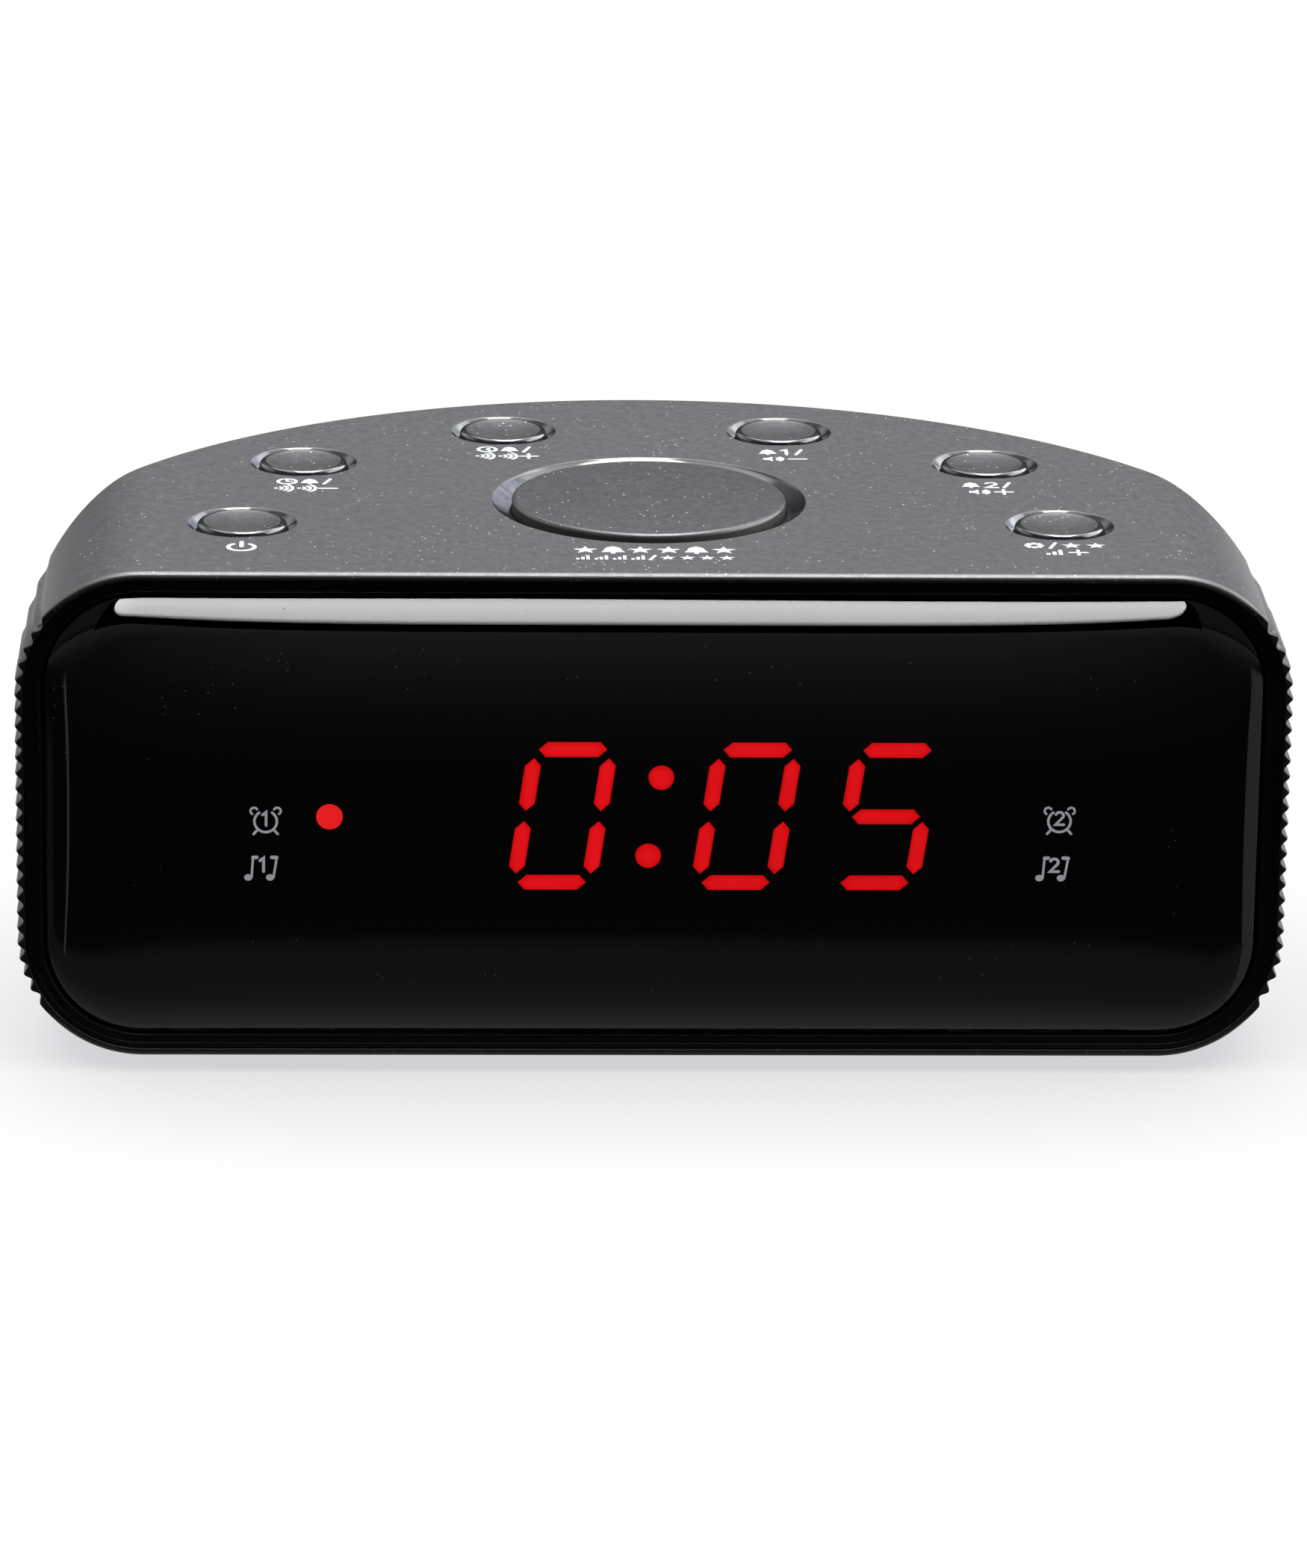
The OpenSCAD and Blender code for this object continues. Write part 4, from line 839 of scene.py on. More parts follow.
def rounded_ring(width, height, radius, centre_z, y, corner=14, across=24, side=12):
    """Rounded rectangle facing the front, from the top of its right side over the top.

    Its straight sides are divided too: across for top and bottom, side for left and right.
    """
    quarters = []
    for quarter, (sign_x, sign_z) in enumerate(((1, 1), (-1, 1), (-1, -1), (1, -1))):
        angles = [unit(quarter * 90 + 90 * i / corner) for i in range(corner + 1)]
        quarters.append([(sign_x * (width / 2 - radius) + radius * c,
                          sign_z * (height / 2 - radius) + radius * s) for c, s in angles])
    points = []
    for quarter, arc in enumerate(quarters):
        points += arc
        x0, z0 = arc[-1]
        x1, z1 = quarters[(quarter + 1) % 4][0]
        steps = side if quarter % 2 else across
        points += [(x0 + (x1 - x0) * i / steps, z0 + (z1 - z0) * i / steps)
                   for i in range(1, steps)]
    return [(x, y, centre_z + z) for x, z in points]


def front_bezel():
    face = FRONT + 0.25
    rounding = [unit(angle) for angle in (30, 60, 90)]

    # inset from the cabinet's outline, y
    outer = [(2.6, FRONT + 6.0), (1.0, FRONT + 6.0), (1.0, face + 0.3)]
    outer += [(1.0 + 0.22 * (1 - c), face + 0.3 * (1 - s)) for c, s in rounding]
    outer += [(1.55, face), (1.66, face + 0.02), (1.72, face + 0.12), (1.84, face + 0.15),
              (1.95, face + 0.16)]
    # margin outside the lens, y
    inner = [(0.55, face + 0.17)]
    inner += [(0.55 - 0.3 * s, face + 0.17 + 0.3 * (1 - c)) for c, s in rounding]
    inner += [(0.15, FRONT + 1.4), (0.15, FRONT + 2.6)]
    # width, height, corner radius and y of the window behind the lens
    window = [(127, 38.8, 5.5, FRONT + 2.6), (126, 37.8, 5, FRONT + 2.8),
              (126, 37.8, 5, FRONT + 6.0)]

    middle = HEIGHT / 2
    rings = [rounded_ring(WIDTH - 2 * inset, HEIGHT - 2 * inset, CORNER - inset, middle, y)
             for inset, y in outer]
    rings += [rounded_ring(LENS_W + 2 * margin, LENS_H + 2 * margin, LENS_R + margin, LENS_Z, y)
              for margin, y in inner]
    rings += [rounded_ring(width, height, radius, middle, y)
              for width, height, radius, y in window]
    mesh = Mesh()
    mesh.ring_of_bands([mesh.add(ring) for ring in rings])
    mesh.make_part("front_bezel", [BEZEL], angle=40)


def lens_y(x, z, inset):
    """Front surface of the lens: crowned, and rolled back round its border."""
    up = min(1.0, abs(z - LENS_Z) / (LENS_H / 2))
    out = min(1.0, abs(x) / (LENS_W / 2))
    edge = 1 - min(inset, LENS_ROLL) / LENS_ROLL
    roll = LENS_ROLL_DEPTH * (1 - sqrt(max(0.0, 1 - edge * edge)))
    return FRONT + roll + 0.12 - LENS_CROWN * (1 - up ** 2.4) * (1 - out ** 5)


def display_lens():
    divisions = dict(corner=18, across=60, side=16)
    back = rounded_ring(LENS_W, LENS_H, LENS_R, LENS_Z, FRONT + 2.48, **divisions)
    rings = [back, [(x, FRONT + LENS_ROLL_DEPTH + 0.12, z) for x, _, z in back]]
    insets = [LENS_ROLL * (1 - unit(90 * i / 14)[0]) for i in range(1, 15)]
    start, end = insets[-1], LENS_H / 2 - 1.2
    insets += [start + (end - start) * i / 12 for i in range(1, 13)]
    for inset in insets:
        height = LENS_H - 2 * inset
        radius = min(max(LENS_R - inset * 0.92, 0.5), height / 2 - 0.2)
        ring = rounded_ring(LENS_W - 2 * inset, height, radius, LENS_Z, 0, **divisions)
        rings.append([(x, lens_y(x, z, inset), z) for x, _, z in ring])
    mesh = Mesh()
    loops = mesh.loft(rings)

    # close the narrow middle with strips between its upper and lower rows
    loop = loops[-1]
    top_end = 2 * divisions["corner"] + divisions["across"]
    bottom_end = len(loop) - divisions["side"]
    for i in range(top_end):
        below = bottom_end - i
        if i == 0:
            strip = [loop[0], loop[1], loop[below - 1]] + loop[below:]
        elif i == top_end - 1:
            strip = [loop[i]] + loop[top_end:below] + [loop[below]]
        else:
            strip = [loop[i], loop[i + 1], loop[below - 1], loop[below]]
        mesh.face(strip)
    mesh.face(loops[0][::-1], slot=1)
    return mesh.make_part("display_lens", [LENS_FRONT, LENS_BACK], angle=50)


front_bezel()
LENS = display_lens()


# ---------------------------------------------------------------- printed marks
class Ink:
    """Thin raised marks. Shapes are drawn about the pen's place in units of its size."""

    def __init__(self, place, thickness):
        self.mesh, self.place, self.thickness, self.drawn = Mesh(), place, thickness, 0

    def pen(self, x, y, size=1, width=1):
        self.x, self.y, self.size, self.width = x, y, size, width

    def draw(self, mark, *pen):
        self.pen(*pen)
        mark(self)

    def height(self):
        """Height of the next shape, varied a little so that overlapping tops differ."""
        lift = (self.drawn % 7) * self.thickness * 0.02
        self.drawn += 1
        return self.thickness + lift

    def on_page(self, points):
        return [(self.x + self.size * x, self.y + self.size * y) for x, y in points]

    def prism(self, points):
        height = self.height()
        low = self.mesh.add([self.place(x, y, 0.0) for x, y in points])
        high = self.mesh.add([self.place(x, y, height) for x, y in points])
        self.mesh.band(low, high)
        self.mesh.face(low[::-1])
        self.mesh.face(high)

    def shape(self, points):
        self.prism(self.on_page(points))

    def disc(self, x, y, radius, count, radius_y=None):
        self.shape([(x + radius * c, y + (radius_y or radius) * s) for c, s in circle(count)])

    def ring(self, radius, weight=1.0):
        height, half = self.height(), self.width * weight / 2
        inner, outer = self.size * radius - half, self.size * radius + half
        self.mesh.ring_of_bands([
            self.mesh.add([self.place(self.x + reach * c, self.y + reach * s, level)
                           for c, s in circle(40)])
            for reach, level in ((inner, 0), (outer, 0), (outer, height), (inner, height))])

    def line(self, points, weight=1.0, round_ends=True):
        """Stroke of constant width with mitred joints."""
        path = [Vector(point) for point in self.on_page(points)]
        half = self.width * weight / 2

        def cap(centre, direction):
            start = atan2(direction.x, -direction.y)
            return [centre + Vector((cos(start - pi * j / 6), sin(start - pi * j / 6))) * half
                    for j in range(1, 6)]

        legs = [(after - before).normalized() for before, after in zip(path, path[1:])]
        left, right = [], []
        for point, before, after in zip(path, legs[:1] + legs, legs + legs[-1:]):
            tangent = (before + after).normalized()
            normal = Vector((-tangent.y, tangent.x))
            mitre = 1 / max(0.45, abs(normal.dot(Vector((-before.y, before.x)))))
            left.append(point + normal * half * mitre)
            right.append(point - normal * half * mitre)
        outline = left + (cap(path[-1], legs[-1]) if round_ends else []) + right[::-1]
        if round_ends:
            outline += cap(path[0], -legs[0])
        self.prism([(point.x, point.y) for point in outline])

    def arc(self, x, y, radius, start, end, count, weight=1.0):
        angles = [unit(start + (end - start) * i / count) for i in range(count + 1)]
        self.line([(x + radius * c, y + radius * s) for c, s in angles], weight)

    def make(self, name, material, slot):
        item = self.mesh.make(name, [material], merge=1e-9)
        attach(item, "cabinet")


def power_mark(ink):
    ink.arc(0, 0, 0.5, 128, 412, 30)
    ink.line([(0, 0.05), (0, 0.72)])


def clock_mark(long_hand, short_hand):
    def mark(ink):
        ink.ring(0.45)
        for angle, reach in ((long_hand, 0.30), (short_hand, 0.22)):
            c, s = unit(angle)
            ink.line([(0, 0), (reach * c, reach * s)], 0.9)
    return mark


def bell_mark(ink):
    side = [(0.46, -0.30), (0.40, -0.16), (0.34, -0.02), (0.32, 0.14), (0.24, 0.32),
            (0.09, 0.42)]
    ink.shape(side + [(0.0, 0.50)] + [(-x, y) for x, y in reversed(side)])
    ink.disc(0, -0.41, 0.10, 14)


def waves_mark(ink):
    ink.disc(-0.32, 0, 0.11, 14)
    for radius in (0.30, 0.56, 0.82):
        ink.arc(-0.32, 0, radius, -42, 42, 12)


def speaker_mark(ink):
    ink.shape([(-0.50, -0.16), (-0.28, -0.16), (-0.02, -0.42), (-0.02, 0.42), (-0.28, 0.16),
               (-0.50, 0.16)])
    for radius in (0.26, 0.46):
        ink.arc(0.02, 0, radius, -45, 45, 12)


def minus_mark(ink):
    ink.line([(-0.42, 0), (0.42, 0)])


def plus_mark(ink):
    minus_mark(ink)
    ink.line([(0, -0.42), (0, 0.42)])


def bars_mark(ink):
    for i, height in enumerate((0.30, 0.55, 0.85)):
        left, right = -0.42 + 0.30 * i, -0.22 + 0.30 * i
        top = height - 0.42
        ink.shape([(left, -0.42), (right, -0.42), (right, top), (left, top)])


def slash_mark(ink):
    ink.line([(-0.16, -0.46), (0.16, 0.46)])


def one_mark(ink):
    ink.line([(-0.2, 0.28), (0.04, 0.46), (0.04, -0.46)])


def two_mark(ink):
    bow = [unit(angle) for angle in range(160, -31, -19)]
    ink.line([(0.26 * c, 0.22 + 0.24 * s) for c, s in bow] + [(-0.26, -0.42), (0.30, -0.42)])


def gear_mark(ink):
    ink.ring(0.28, 1.1)
    for c, s in circle(8):
        ink.line([(0.33 * c, 0.33 * s), (0.48 * c, 0.48 * s)], 1.3, round_ends=False)


def star_mark(ink):
    points = [(0.2 if i % 2 else 0.5, unit(90 + 36 * i)) for i in range(10)]
    ink.shape([(radius * c, radius * s) for radius, (c, s) in points])


# width in units of the size, drawing function
MARKS = {
    "hour": (0.95, clock_mark(90, 0)), "minute": (0.95, clock_mark(-60, 60)),
    "bell": (0.92, bell_mark), "waves": (0.95, waves_mark), "speaker": (0.98, speaker_mark),
    "minus": (0.9, minus_mark), "plus": (0.9, plus_mark), "slash": (0.42, slash_mark),
    "one": (0.4, one_mark), "two": (0.62, two_mark), "gear": (0.98, gear_mark),
    "star": (0.98, star_mark), "bars": (0.9, bars_mark),
}
# centre x, centre y, marks, gap between them, size, line width
LEGEND_ROWS = [
    (-41.5, 0.1, "hour bell slash", 0.45, 2.45, 0.42),
    (-41.4, -2.9, "waves waves minus", 0.45, 2.45, 0.42),
    (-17.1, 15.0, "minute bell slash", 0.45, 2.45, 0.42),
    (-16.9, 11.95, "waves waves plus", 0.45, 2.45, 0.42),
    (16.9, 14.2, "bell one slash", 0.6, 2.45, 0.42),
    (17.3, 11.1, "speaker minus", 0.7, 2.45, 0.42),
    (41.2, -0.4, "bell two slash", 0.6, 2.45, 0.42),
    (41.6, -3.4, "speaker plus", 0.7, 2.45, 0.42),
    (48.65, -26.6, "gear slash star star", 0.5, 2.45, 0.42),
    (48.6, -29.5, "bars plus", 0.6, 2.45, 0.42),
    (0, -29.1, "star bell star star bell star", 0.30, 3.1, 0.5),
    (0, -32.3, "bars bars bars bars slash star star star star", 0.36, 2.0, 0.40),
]


def top_legends():
    ink = Ink(lambda x, y, height: (x, y, TOP + 0.003 + height), thickness=0.02)
    ink.draw(power_mark, -48.6, -28.4, 3.1, 0.52)
    for centre, y, names, gap, size, width in LEGEND_ROWS:
        marks = [MARKS[name] for name in names.split()]
        total = sum(share * size for share, _ in marks) + gap * (len(marks) - 1)
        x = centre - total / 2
        for share, mark in marks:
            ink.draw(mark, x + share * size / 2, y, size, width)
            x += share * size + gap
    ink.make("top_legends", LEGEND, "cabinet_shell")


def alarm_icon(ink, x, y, number):
    """Open ring with two bells and two feet round a number."""
    ink.pen(x, y)
    ink.arc(0, -0.1, 1.32, -235, 55, 36, 0.3)
    for side, lean in ((-1, 135), (1, 45)):
        ink.arc(side * 1.36, 1.18, 0.42, lean - 105, lean + 105, 14, 0.26)
        ink.line([(side * 0.98, -1.15), (side * 1.42, -1.66)], 0.3)
    if number == 1:
        ink.draw(one_mark, x - 0.02, y + 0.22, 1.75, 0.32)
    else:
        ink.draw(two_mark, x, y + 0.22, 1.75, 0.32)


def note_icon(ink, x, y, number):
    """Pair of notes with broken beam, and a number between the stems."""
    ink.pen(x, y)
    for head_x, stem_x, stem_top in ((-1.62, -1.22, -1.05), (0.95, 1.36, 1.75)):
        ink.disc(head_x, -1.12, 0.48, 20, 0.40)
        ink.line([(stem_x, -1.1), (stem_top, 1.35)], 0.28)
    ink.line([(-1.05, 1.35), (-0.60, 1.38)], 0.42)
    ink.line([(1.15, 1.38), (1.75, 1.35)], 0.42)
    ink.draw(one_mark if number == 1 else two_mark, x + 0.12, y + 0.45, 1.8, 0.34)


def lens_icons():
    ink = Ink(lambda x, z, height: (x, FRONT + 1.0 - height, z), thickness=0.03)
    alarm_icon(ink, -45.67, 29.22, 1)
    note_icon(ink, -46.12, 23.29, 1)
    alarm_icon(ink, 47.91, 29.46, 2)
    note_icon(ink, 47.33, 23.41, 2)
    ink.make("lens_icons", LENS_PRINT, "display_lens")


top_legends()
lens_icons()


# ---------------------------------------------------------------- keys
def key(part, body, x, y):
    """Dished cap with a polished rim, a flange and a stem."""
    top, dish_r, dish, rim = TOP + 0.2, 4.55, 0.44, 0.55
    profile = [(dish_r * i / 8, top - 0.50 + dish * (i / 8) ** 2.1) for i in range(9)]
    profile += [(4.62, top - 0.035), (4.70, top - 0.012), (KEY_R - rim, top)]
    for angle in range(15, 91, 15):
        c, s = unit(angle)
        profile.append((KEY_R - rim + rim * s, top - rim * (1 - c)))
    profile += [(KEY_R, TOP - 1.2), (KEY_R, FLANGE_TOP), (KEY_R + 0.95, FLANGE_TOP),
                (KEY_R + 0.95, FLANGE_LOW), (1.6, FLANGE_LOW), (1.6, STEM_END), (0, STEM_END)]
    mesh = Mesh()
    mesh.lathe(profile, upright(x, y), 96, slots=[0] * 9 + [1] * 10 + [2] * 5)
    mesh.make_part(part, [CAP_PAINT, RIM, BLACK], body, angle=32)


def snooze_key():
    """Wide domed cap, hollow below, with a flange and a stem."""
    rim_z, crown, round_r = TOP + 0.32, 0.34, 0.6
    profile = [((SNOOZE_R - round_r) * i / 12, rim_z + crown - crown * (i / 12) ** 2.2)
               for i in range(13)]
    for angle in range(9, 91, 9):
        c, s = unit(angle)
        profile.append((SNOOZE_R - round_r + round_r * s, rim_z - 0.55 * (1 - c)))
    flange, skirt, ceiling = SNOOZE_R + 1.2, SNOOZE_R - 1.6, TOP - 2.2
    profile += [(SNOOZE_R, FLANGE_TOP), (flange, FLANGE_TOP), (flange, FLANGE_LOW),
                (skirt, FLANGE_LOW), (skirt, ceiling), (2.2, ceiling), (2.2, STEM_END),
                (0, STEM_END)]
    mesh = Mesh()
    mesh.lathe(profile, upright(SNOOZE_X, SNOOZE_Y), 160, slots=[0] * 22 + [2] * 8)
    mesh.make_part("snooze_button", [CAP_PAINT, RIM, BLACK], "snooze_key", angle=32)


for key_entry in KEYS:
    key(*key_entry)
snooze_key()

# ---------------------------------------------------------------- lit display
DIGIT_X = [-27.2, -10.7, 11.1, 27.6]
DIGIT_Z = 28.85
DIGIT_W, DIGIT_H = 11.0, 18.4
SEGMENT_W = 1.9
DIGIT_SLANT = tan(radians(8.2))
SEGMENT_Y = FRONT + 4
# segments: 0 top, 1 upper right, 2 lower right, 3 bottom, 4 lower left, 5 upper left, 6 middle
DIGITS_LIT = [[], [0, 1, 2, 3, 4, 5], [0, 1, 2, 3, 4, 5], [0, 2, 3, 5, 6]]
COLON = [(0.95, 33.63), (-0.5, 23.92)]
COLON_R = 1.5


def segment_outline(segment):
    """Six-sided bar of an upright digit, about the digit's centre."""
    margin = 0.03
    half_h, half_w = DIGIT_H / 2, DIGIT_W / 2 - 0.13
    thick, centre, gap = SEGMENT_W - 2 * margin, SEGMENT_W / 2, 0.35 + margin
    tip = thick / 2
    if segment in (0, 3, 6):
        end = half_w - centre - gap
        z = {0: half_h - centre, 3: centre - half_h, 6: 0}[segment]
        return [(-end, z), (-end + tip, z + tip), (end - tip, z + tip), (end, z),
                (end - tip, z - tip), (-end + tip, z - tip)]
    low, high = centre + gap, half_h - centre - gap
    bar = [(0, low), (tip, low + tip), (tip, high - tip), (0, high), (-tip, high - tip),
           (-tip, low + tip)]
    x_shift = half_w - centre if segment in (1, 2) else centre - half_w
    flip = 1 if segment in (1, 5) else -1
    return [(x + x_shift, flip * (z - centre + 0.25)) for x, z in bar]


def lit_segments():
    """Raised bars and dots whose vertices carry a glow that falls towards the outline."""
    shapes = []                       # outline, inset share across, inset share upwards
    for digit_x, segments in zip(DIGIT_X, DIGITS_LIT):
        for segment in segments:
            outline = [(digit_x + x + z * DIGIT_SLANT, DIGIT_Z + z)
                       for x, z in segment_outline(segment)]
            shares = (0.45, 1.0) if segment in (0, 3, 6) else (1.0, 0.35)
            shapes.append((outline, *shares))
    for x, z in COLON:
        dot = [(x + COLON_R * c, z + COLON_R * s) for c, s in circle(32)]
        shapes.append((dot, 0.9, 0.9))

    mesh, glow = Mesh(), []
    for outline, share_x, share_z in shapes:
        centre_x, centre_z = [sum(axis) / len(outline) for axis in zip(*outline)]
        loops = []
        # y, inset, glow, from the back to the front
        for y, inset, level in ((SEGMENT_Y + 1.2, 0, 0.0), (SEGMENT_Y + 0.10, 0, 0.0),
                                (SEGMENT_Y, 0.12, 0.15), (SEGMENT_Y, 0.5, 0.85)):
            loops.append(mesh.add([(centre_x + (x - centre_x) * (1 - inset * share_x), y,
                                    centre_z + (z - centre_z) * (1 - inset * share_z))
                                   for x, z in outline]))
            glow += [level] * len(outline)
        for lower, upper in zip(loops, loops[1:]):
            mesh.band(lower, upper)
        mesh.face(loops[-1])
        mesh.face(loops[0][::-1])
    item = mesh.make("led_segments_lit_visual", [SEGMENT_LIT], merge=1e-10)
    attribute = item.data.attributes.new("glow", "FLOAT", "POINT")
    attribute.data.foreach_set("value", glow)
    stand_in(item, "led_segments_lit")


lit_segments()

# ---------------------------------------------------------------- mains cord
CORD_R = 2.0
CORD_Z = FLOOR + CORD_R + 0.08        # centre height of a cord lying on the floor
CORD_X_DIR, CORD_Y_DIR = -sin(radians(CORD_TURN)), cos(radians(CORD_TURN))
# gentle fall behind the cabinet, as distances from the centre of the back's arc
FALL_R = 14.0
FALL_ANGLE = acos(1 - (OUTLET_Z - CORD_Z) / (2 * FALL_R))
FALL_START = BACK_R + 14
FALL_END = FALL_START + 2 * FALL_R * sin(FALL_ANGLE)
# bend on the floor into the coil
BEND_R = 16
BEND_X = CORD_X_DIR * FALL_END + BEND_R * CORD_Y_DIR
BEND_Y = BACK_Y + CORD_Y_DIR * FALL_END - BEND_R * CORD_X_DIR
# long flat coil: two straight runs joined by half turns
COIL_TURNS, COIL_PITCH = 4, 4.15
COIL_R, COIL_X, COIL_Y = 15.0, 24.0, BEND_Y + BEND_R
COIL_TOP = CORD_Z + COIL_TURNS * COIL_PITCH
# fall from the coil and a half turn back to the plug
PLUG_Y, PLUG_Z = COIL_Y - 2 * COIL_R, FLOOR + 6.9
DROP_R, DROP_START = 10.0, 29
DROP_ANGLE = acos(1 - (COIL_TOP - PLUG_Z) / (2 * DROP_R))
DROP_END = DROP_START + 2 * DROP_R * sin(DROP_ANGLE)


def from_outlet(reach, z):
    return (CORD_X_DIR * reach, BACK_Y + CORD_Y_DIR * reach, z)


def cord_path():
    path = []

    def add(*place):
        point = Vector(place)
        if not path or (point - path[-1]).length > 0.25:
            path.append(point)

    def run(start, end, steps, bow=0.0):
        """Straight run, bowed in Y by up to bow."""
        for i in range(1, steps + 1):
            t = i / steps
            x, y, z = [first + (last - first) * t for first, last in zip(start, end)]
            add(x, y + bow * sin(pi * t), z)

    def bend(x, y, z, radius, start, end, steps):
        """Level arc between two angles in degrees."""
        for i in range(1, steps + 1):
            c, s = unit(start + (end - start) * i / steps)
            add(x + radius * c, y + radius * s, z)

    def fall(start, end, top, low, radius, angle, steps, place):
        """Two equal arcs, over and out, from one level to another."""
        for i in range(1, steps + 1):
            turn = angle * i / steps
            add(*place(start + radius * sin(turn), top - radius * (1 - cos(turn))))
        for i in range(1, steps + 1):
            turn = angle * (1 - i / steps)
            add(*place(end - radius * sin(turn), low + radius * (1 - cos(turn))))

    inside = from_outlet(BACK_R - 12, OUTLET_Z)
    add(*inside)
    run(inside, from_outlet(FALL_START, OUTLET_Z), 8)
    fall(FALL_START, FALL_END, OUTLET_Z, CORD_Z, FALL_R, FALL_ANGLE, 12, from_outlet)
    bend(BEND_X, BEND_Y, CORD_Z, BEND_R, 180 + CORD_TURN, 270, 18)
    run((BEND_X, COIL_Y, CORD_Z), (COIL_X, COIL_Y, CORD_Z), 8)
    middle, rear = COIL_Y + COIL_R, COIL_Y + 2 * COIL_R
    for turn in range(COIL_TURNS):
        z = CORD_Z + turn * COIL_PITCH
        bend(COIL_X, middle, z, COIL_R, -90, 90, 24)
        run((COIL_X, rear, z), (-COIL_X, rear, z), 12, bow=0.22 if turn % 2 else -0.22)
        bend(-COIL_X, middle, z, COIL_R, 90, 270, 24)
        run((-COIL_X, COIL_Y, z), (COIL_X, COIL_Y, z + COIL_PITCH), 16)
    run((COIL_X, COIL_Y, COIL_TOP), (DROP_START, COIL_Y, COIL_TOP), 2)
    fall(DROP_START, DROP_END, COIL_TOP, PLUG_Z, DROP_R, DROP_ANGLE, 10,
         lambda x, z: (x, COIL_Y, z))
    bend(DROP_END, COIL_Y - COIL_R, PLUG_Z, COIL_R, 90, -90, 24)
    run((DROP_END, PLUG_Y, PLUG_Z), (22.5, PLUG_Y, PLUG_Z), 8)
    return path


def resample(path, step):
    """Points at even steps along a path, and its end."""
    result = [path[0].copy()]
    carried = 0.0
    for start, end in zip(path, path[1:]):
        length = (end - start).length
        distance = step - carried
        while distance < length:
            result.append(start.lerp(end, distance / length))
            distance += step
        carried = length - (distance - step)
    result.append(path[-1].copy())
    return result


def relax(path, rounds, fixed):
    """Smooth a path, leaving the given number of points at each end."""
    for _ in range(rounds):
        before = path
        path = [point.copy() for point in before]
        for i in range(fixed, len(path) - fixed):
            path[i] = before[i] * 0.5 + (before[i - 1] + before[i + 1]) * 0.25
    return path


def mains_cord():
    path = relax(resample(cord_path(), step=1.1), rounds=6, fixed=14)
    for point in path:
        point.z = max(point.z, CORD_Z)
    mesh = Mesh()
    mesh.tube(path, [CORD_R * 0.985] * len(path), 20)
    mesh.make_part("mains_cord", [CABLE], angle=60, weighted=False)


def cord_grommet():
    """Flanged bush in the back with a tapered, ringed sleeve round the cord."""
    bore = CORD_R + 0.03
    # radius, distance outwards from the cabinet's back
    profile = [(bore, -4.6), (4.4, -4.6), (4.4, -3.7), (3.42, -3.7), (3.42, 0.42),
               (4.5, 0.45), (4.85, 0.6), (4.95, 0.9), (4.9, 1.5), (4.6, 1.85), (4.15, 2.0)]
    for i in range(5):
        radius, start = 3.95 - i * 0.17, 2.2 + i * 1.68
        profile += [(radius - drop, start + ahead) for drop, ahead in (
            (0, 0), (0, 1.0), (0.12, 1.12), (0.62, 1.2), (0.64, 1.5), (0.25, 1.62))]
    profile += [(3.05, 10.7), (2.85, 10.95), (bore, 11.0)]
    centre = Vector((0, BACK_Y, OUTLET_Z))
    outward = Vector((CORD_X_DIR, CORD_Y_DIR, 0))
    side = Vector((CORD_Y_DIR, -CORD_X_DIR, 0))
    up = Vector((0, 0, 1))
    mesh = Mesh()
    loops = mesh.lathe(profile, lambda across, rise, reach: (
        centre + outward * (BACK_R + reach) + side * across + up * rise), 40)
    mesh.band(loops[-1], loops[0])
    mesh.make_part("cord_grommet", [CABLE], angle=35)


def cord_ties():
    """Two flat straps round the coil."""
    radius = 2.2
    front = COIL_Y - CORD_R - 0.55 + radius
    back = COIL_Y + 2 * COIL_R + CORD_R + 0.55 - radius
    low, high = FLOOR + 0.36 + radius, COIL_TOP + CORD_R + 0.62 - radius
    corners = []
    for y, z, start in ((back, high, 0), (front, high, 90), (front, low, 180), (back, low, 270)):
        for i in range(9):
            c, s = unit(start + 90 * i / 8)
            corners.append((y + radius * c, z + radius * s))
    path = []
    for (y, z), (next_y, next_z) in zip(corners, corners[1:] + corners[:1]):
        path.append((y, z))
        steps = int(hypot(next_y - y, next_z - z) / 2.0)
        path += [(y + (next_y - y) * j / steps, z + (next_z - z) * j / steps)
                 for j in range(1, steps)]
    # strap section: offset along X, height outwards
    section = [(-1.55, -0.18), (-1.35, -0.30), (0, -0.33), (1.35, -0.30), (1.55, -0.18),
               (1.55, 0.18), (1.35, 0.32), (0, 0.36), (-1.35, 0.32), (-1.55, 0.18)]
    mesh = Mesh()
    for side in (-1, 1):
        loops = []
        for i, (y, z) in enumerate(path):
            before, after = path[i - 1], path[(i + 1) % len(path)]
            run_y, run_z = after[0] - before[0], after[1] - before[1]
            length = hypot(run_y, run_z)
            out_y, out_z = run_z / length, -run_y / length
            x = side * 6.0 + 0.12 * sin(i * 0.35 + side)
            loops.append(mesh.add([
                (x + offset, y + out_y * rise, max(z + out_z * rise, FLOOR + 0.015))
                for offset, rise in section]))
        mesh.ring_of_bands(loops)
    mesh.make_part("cord_tie", [RUBBER], angle=45)


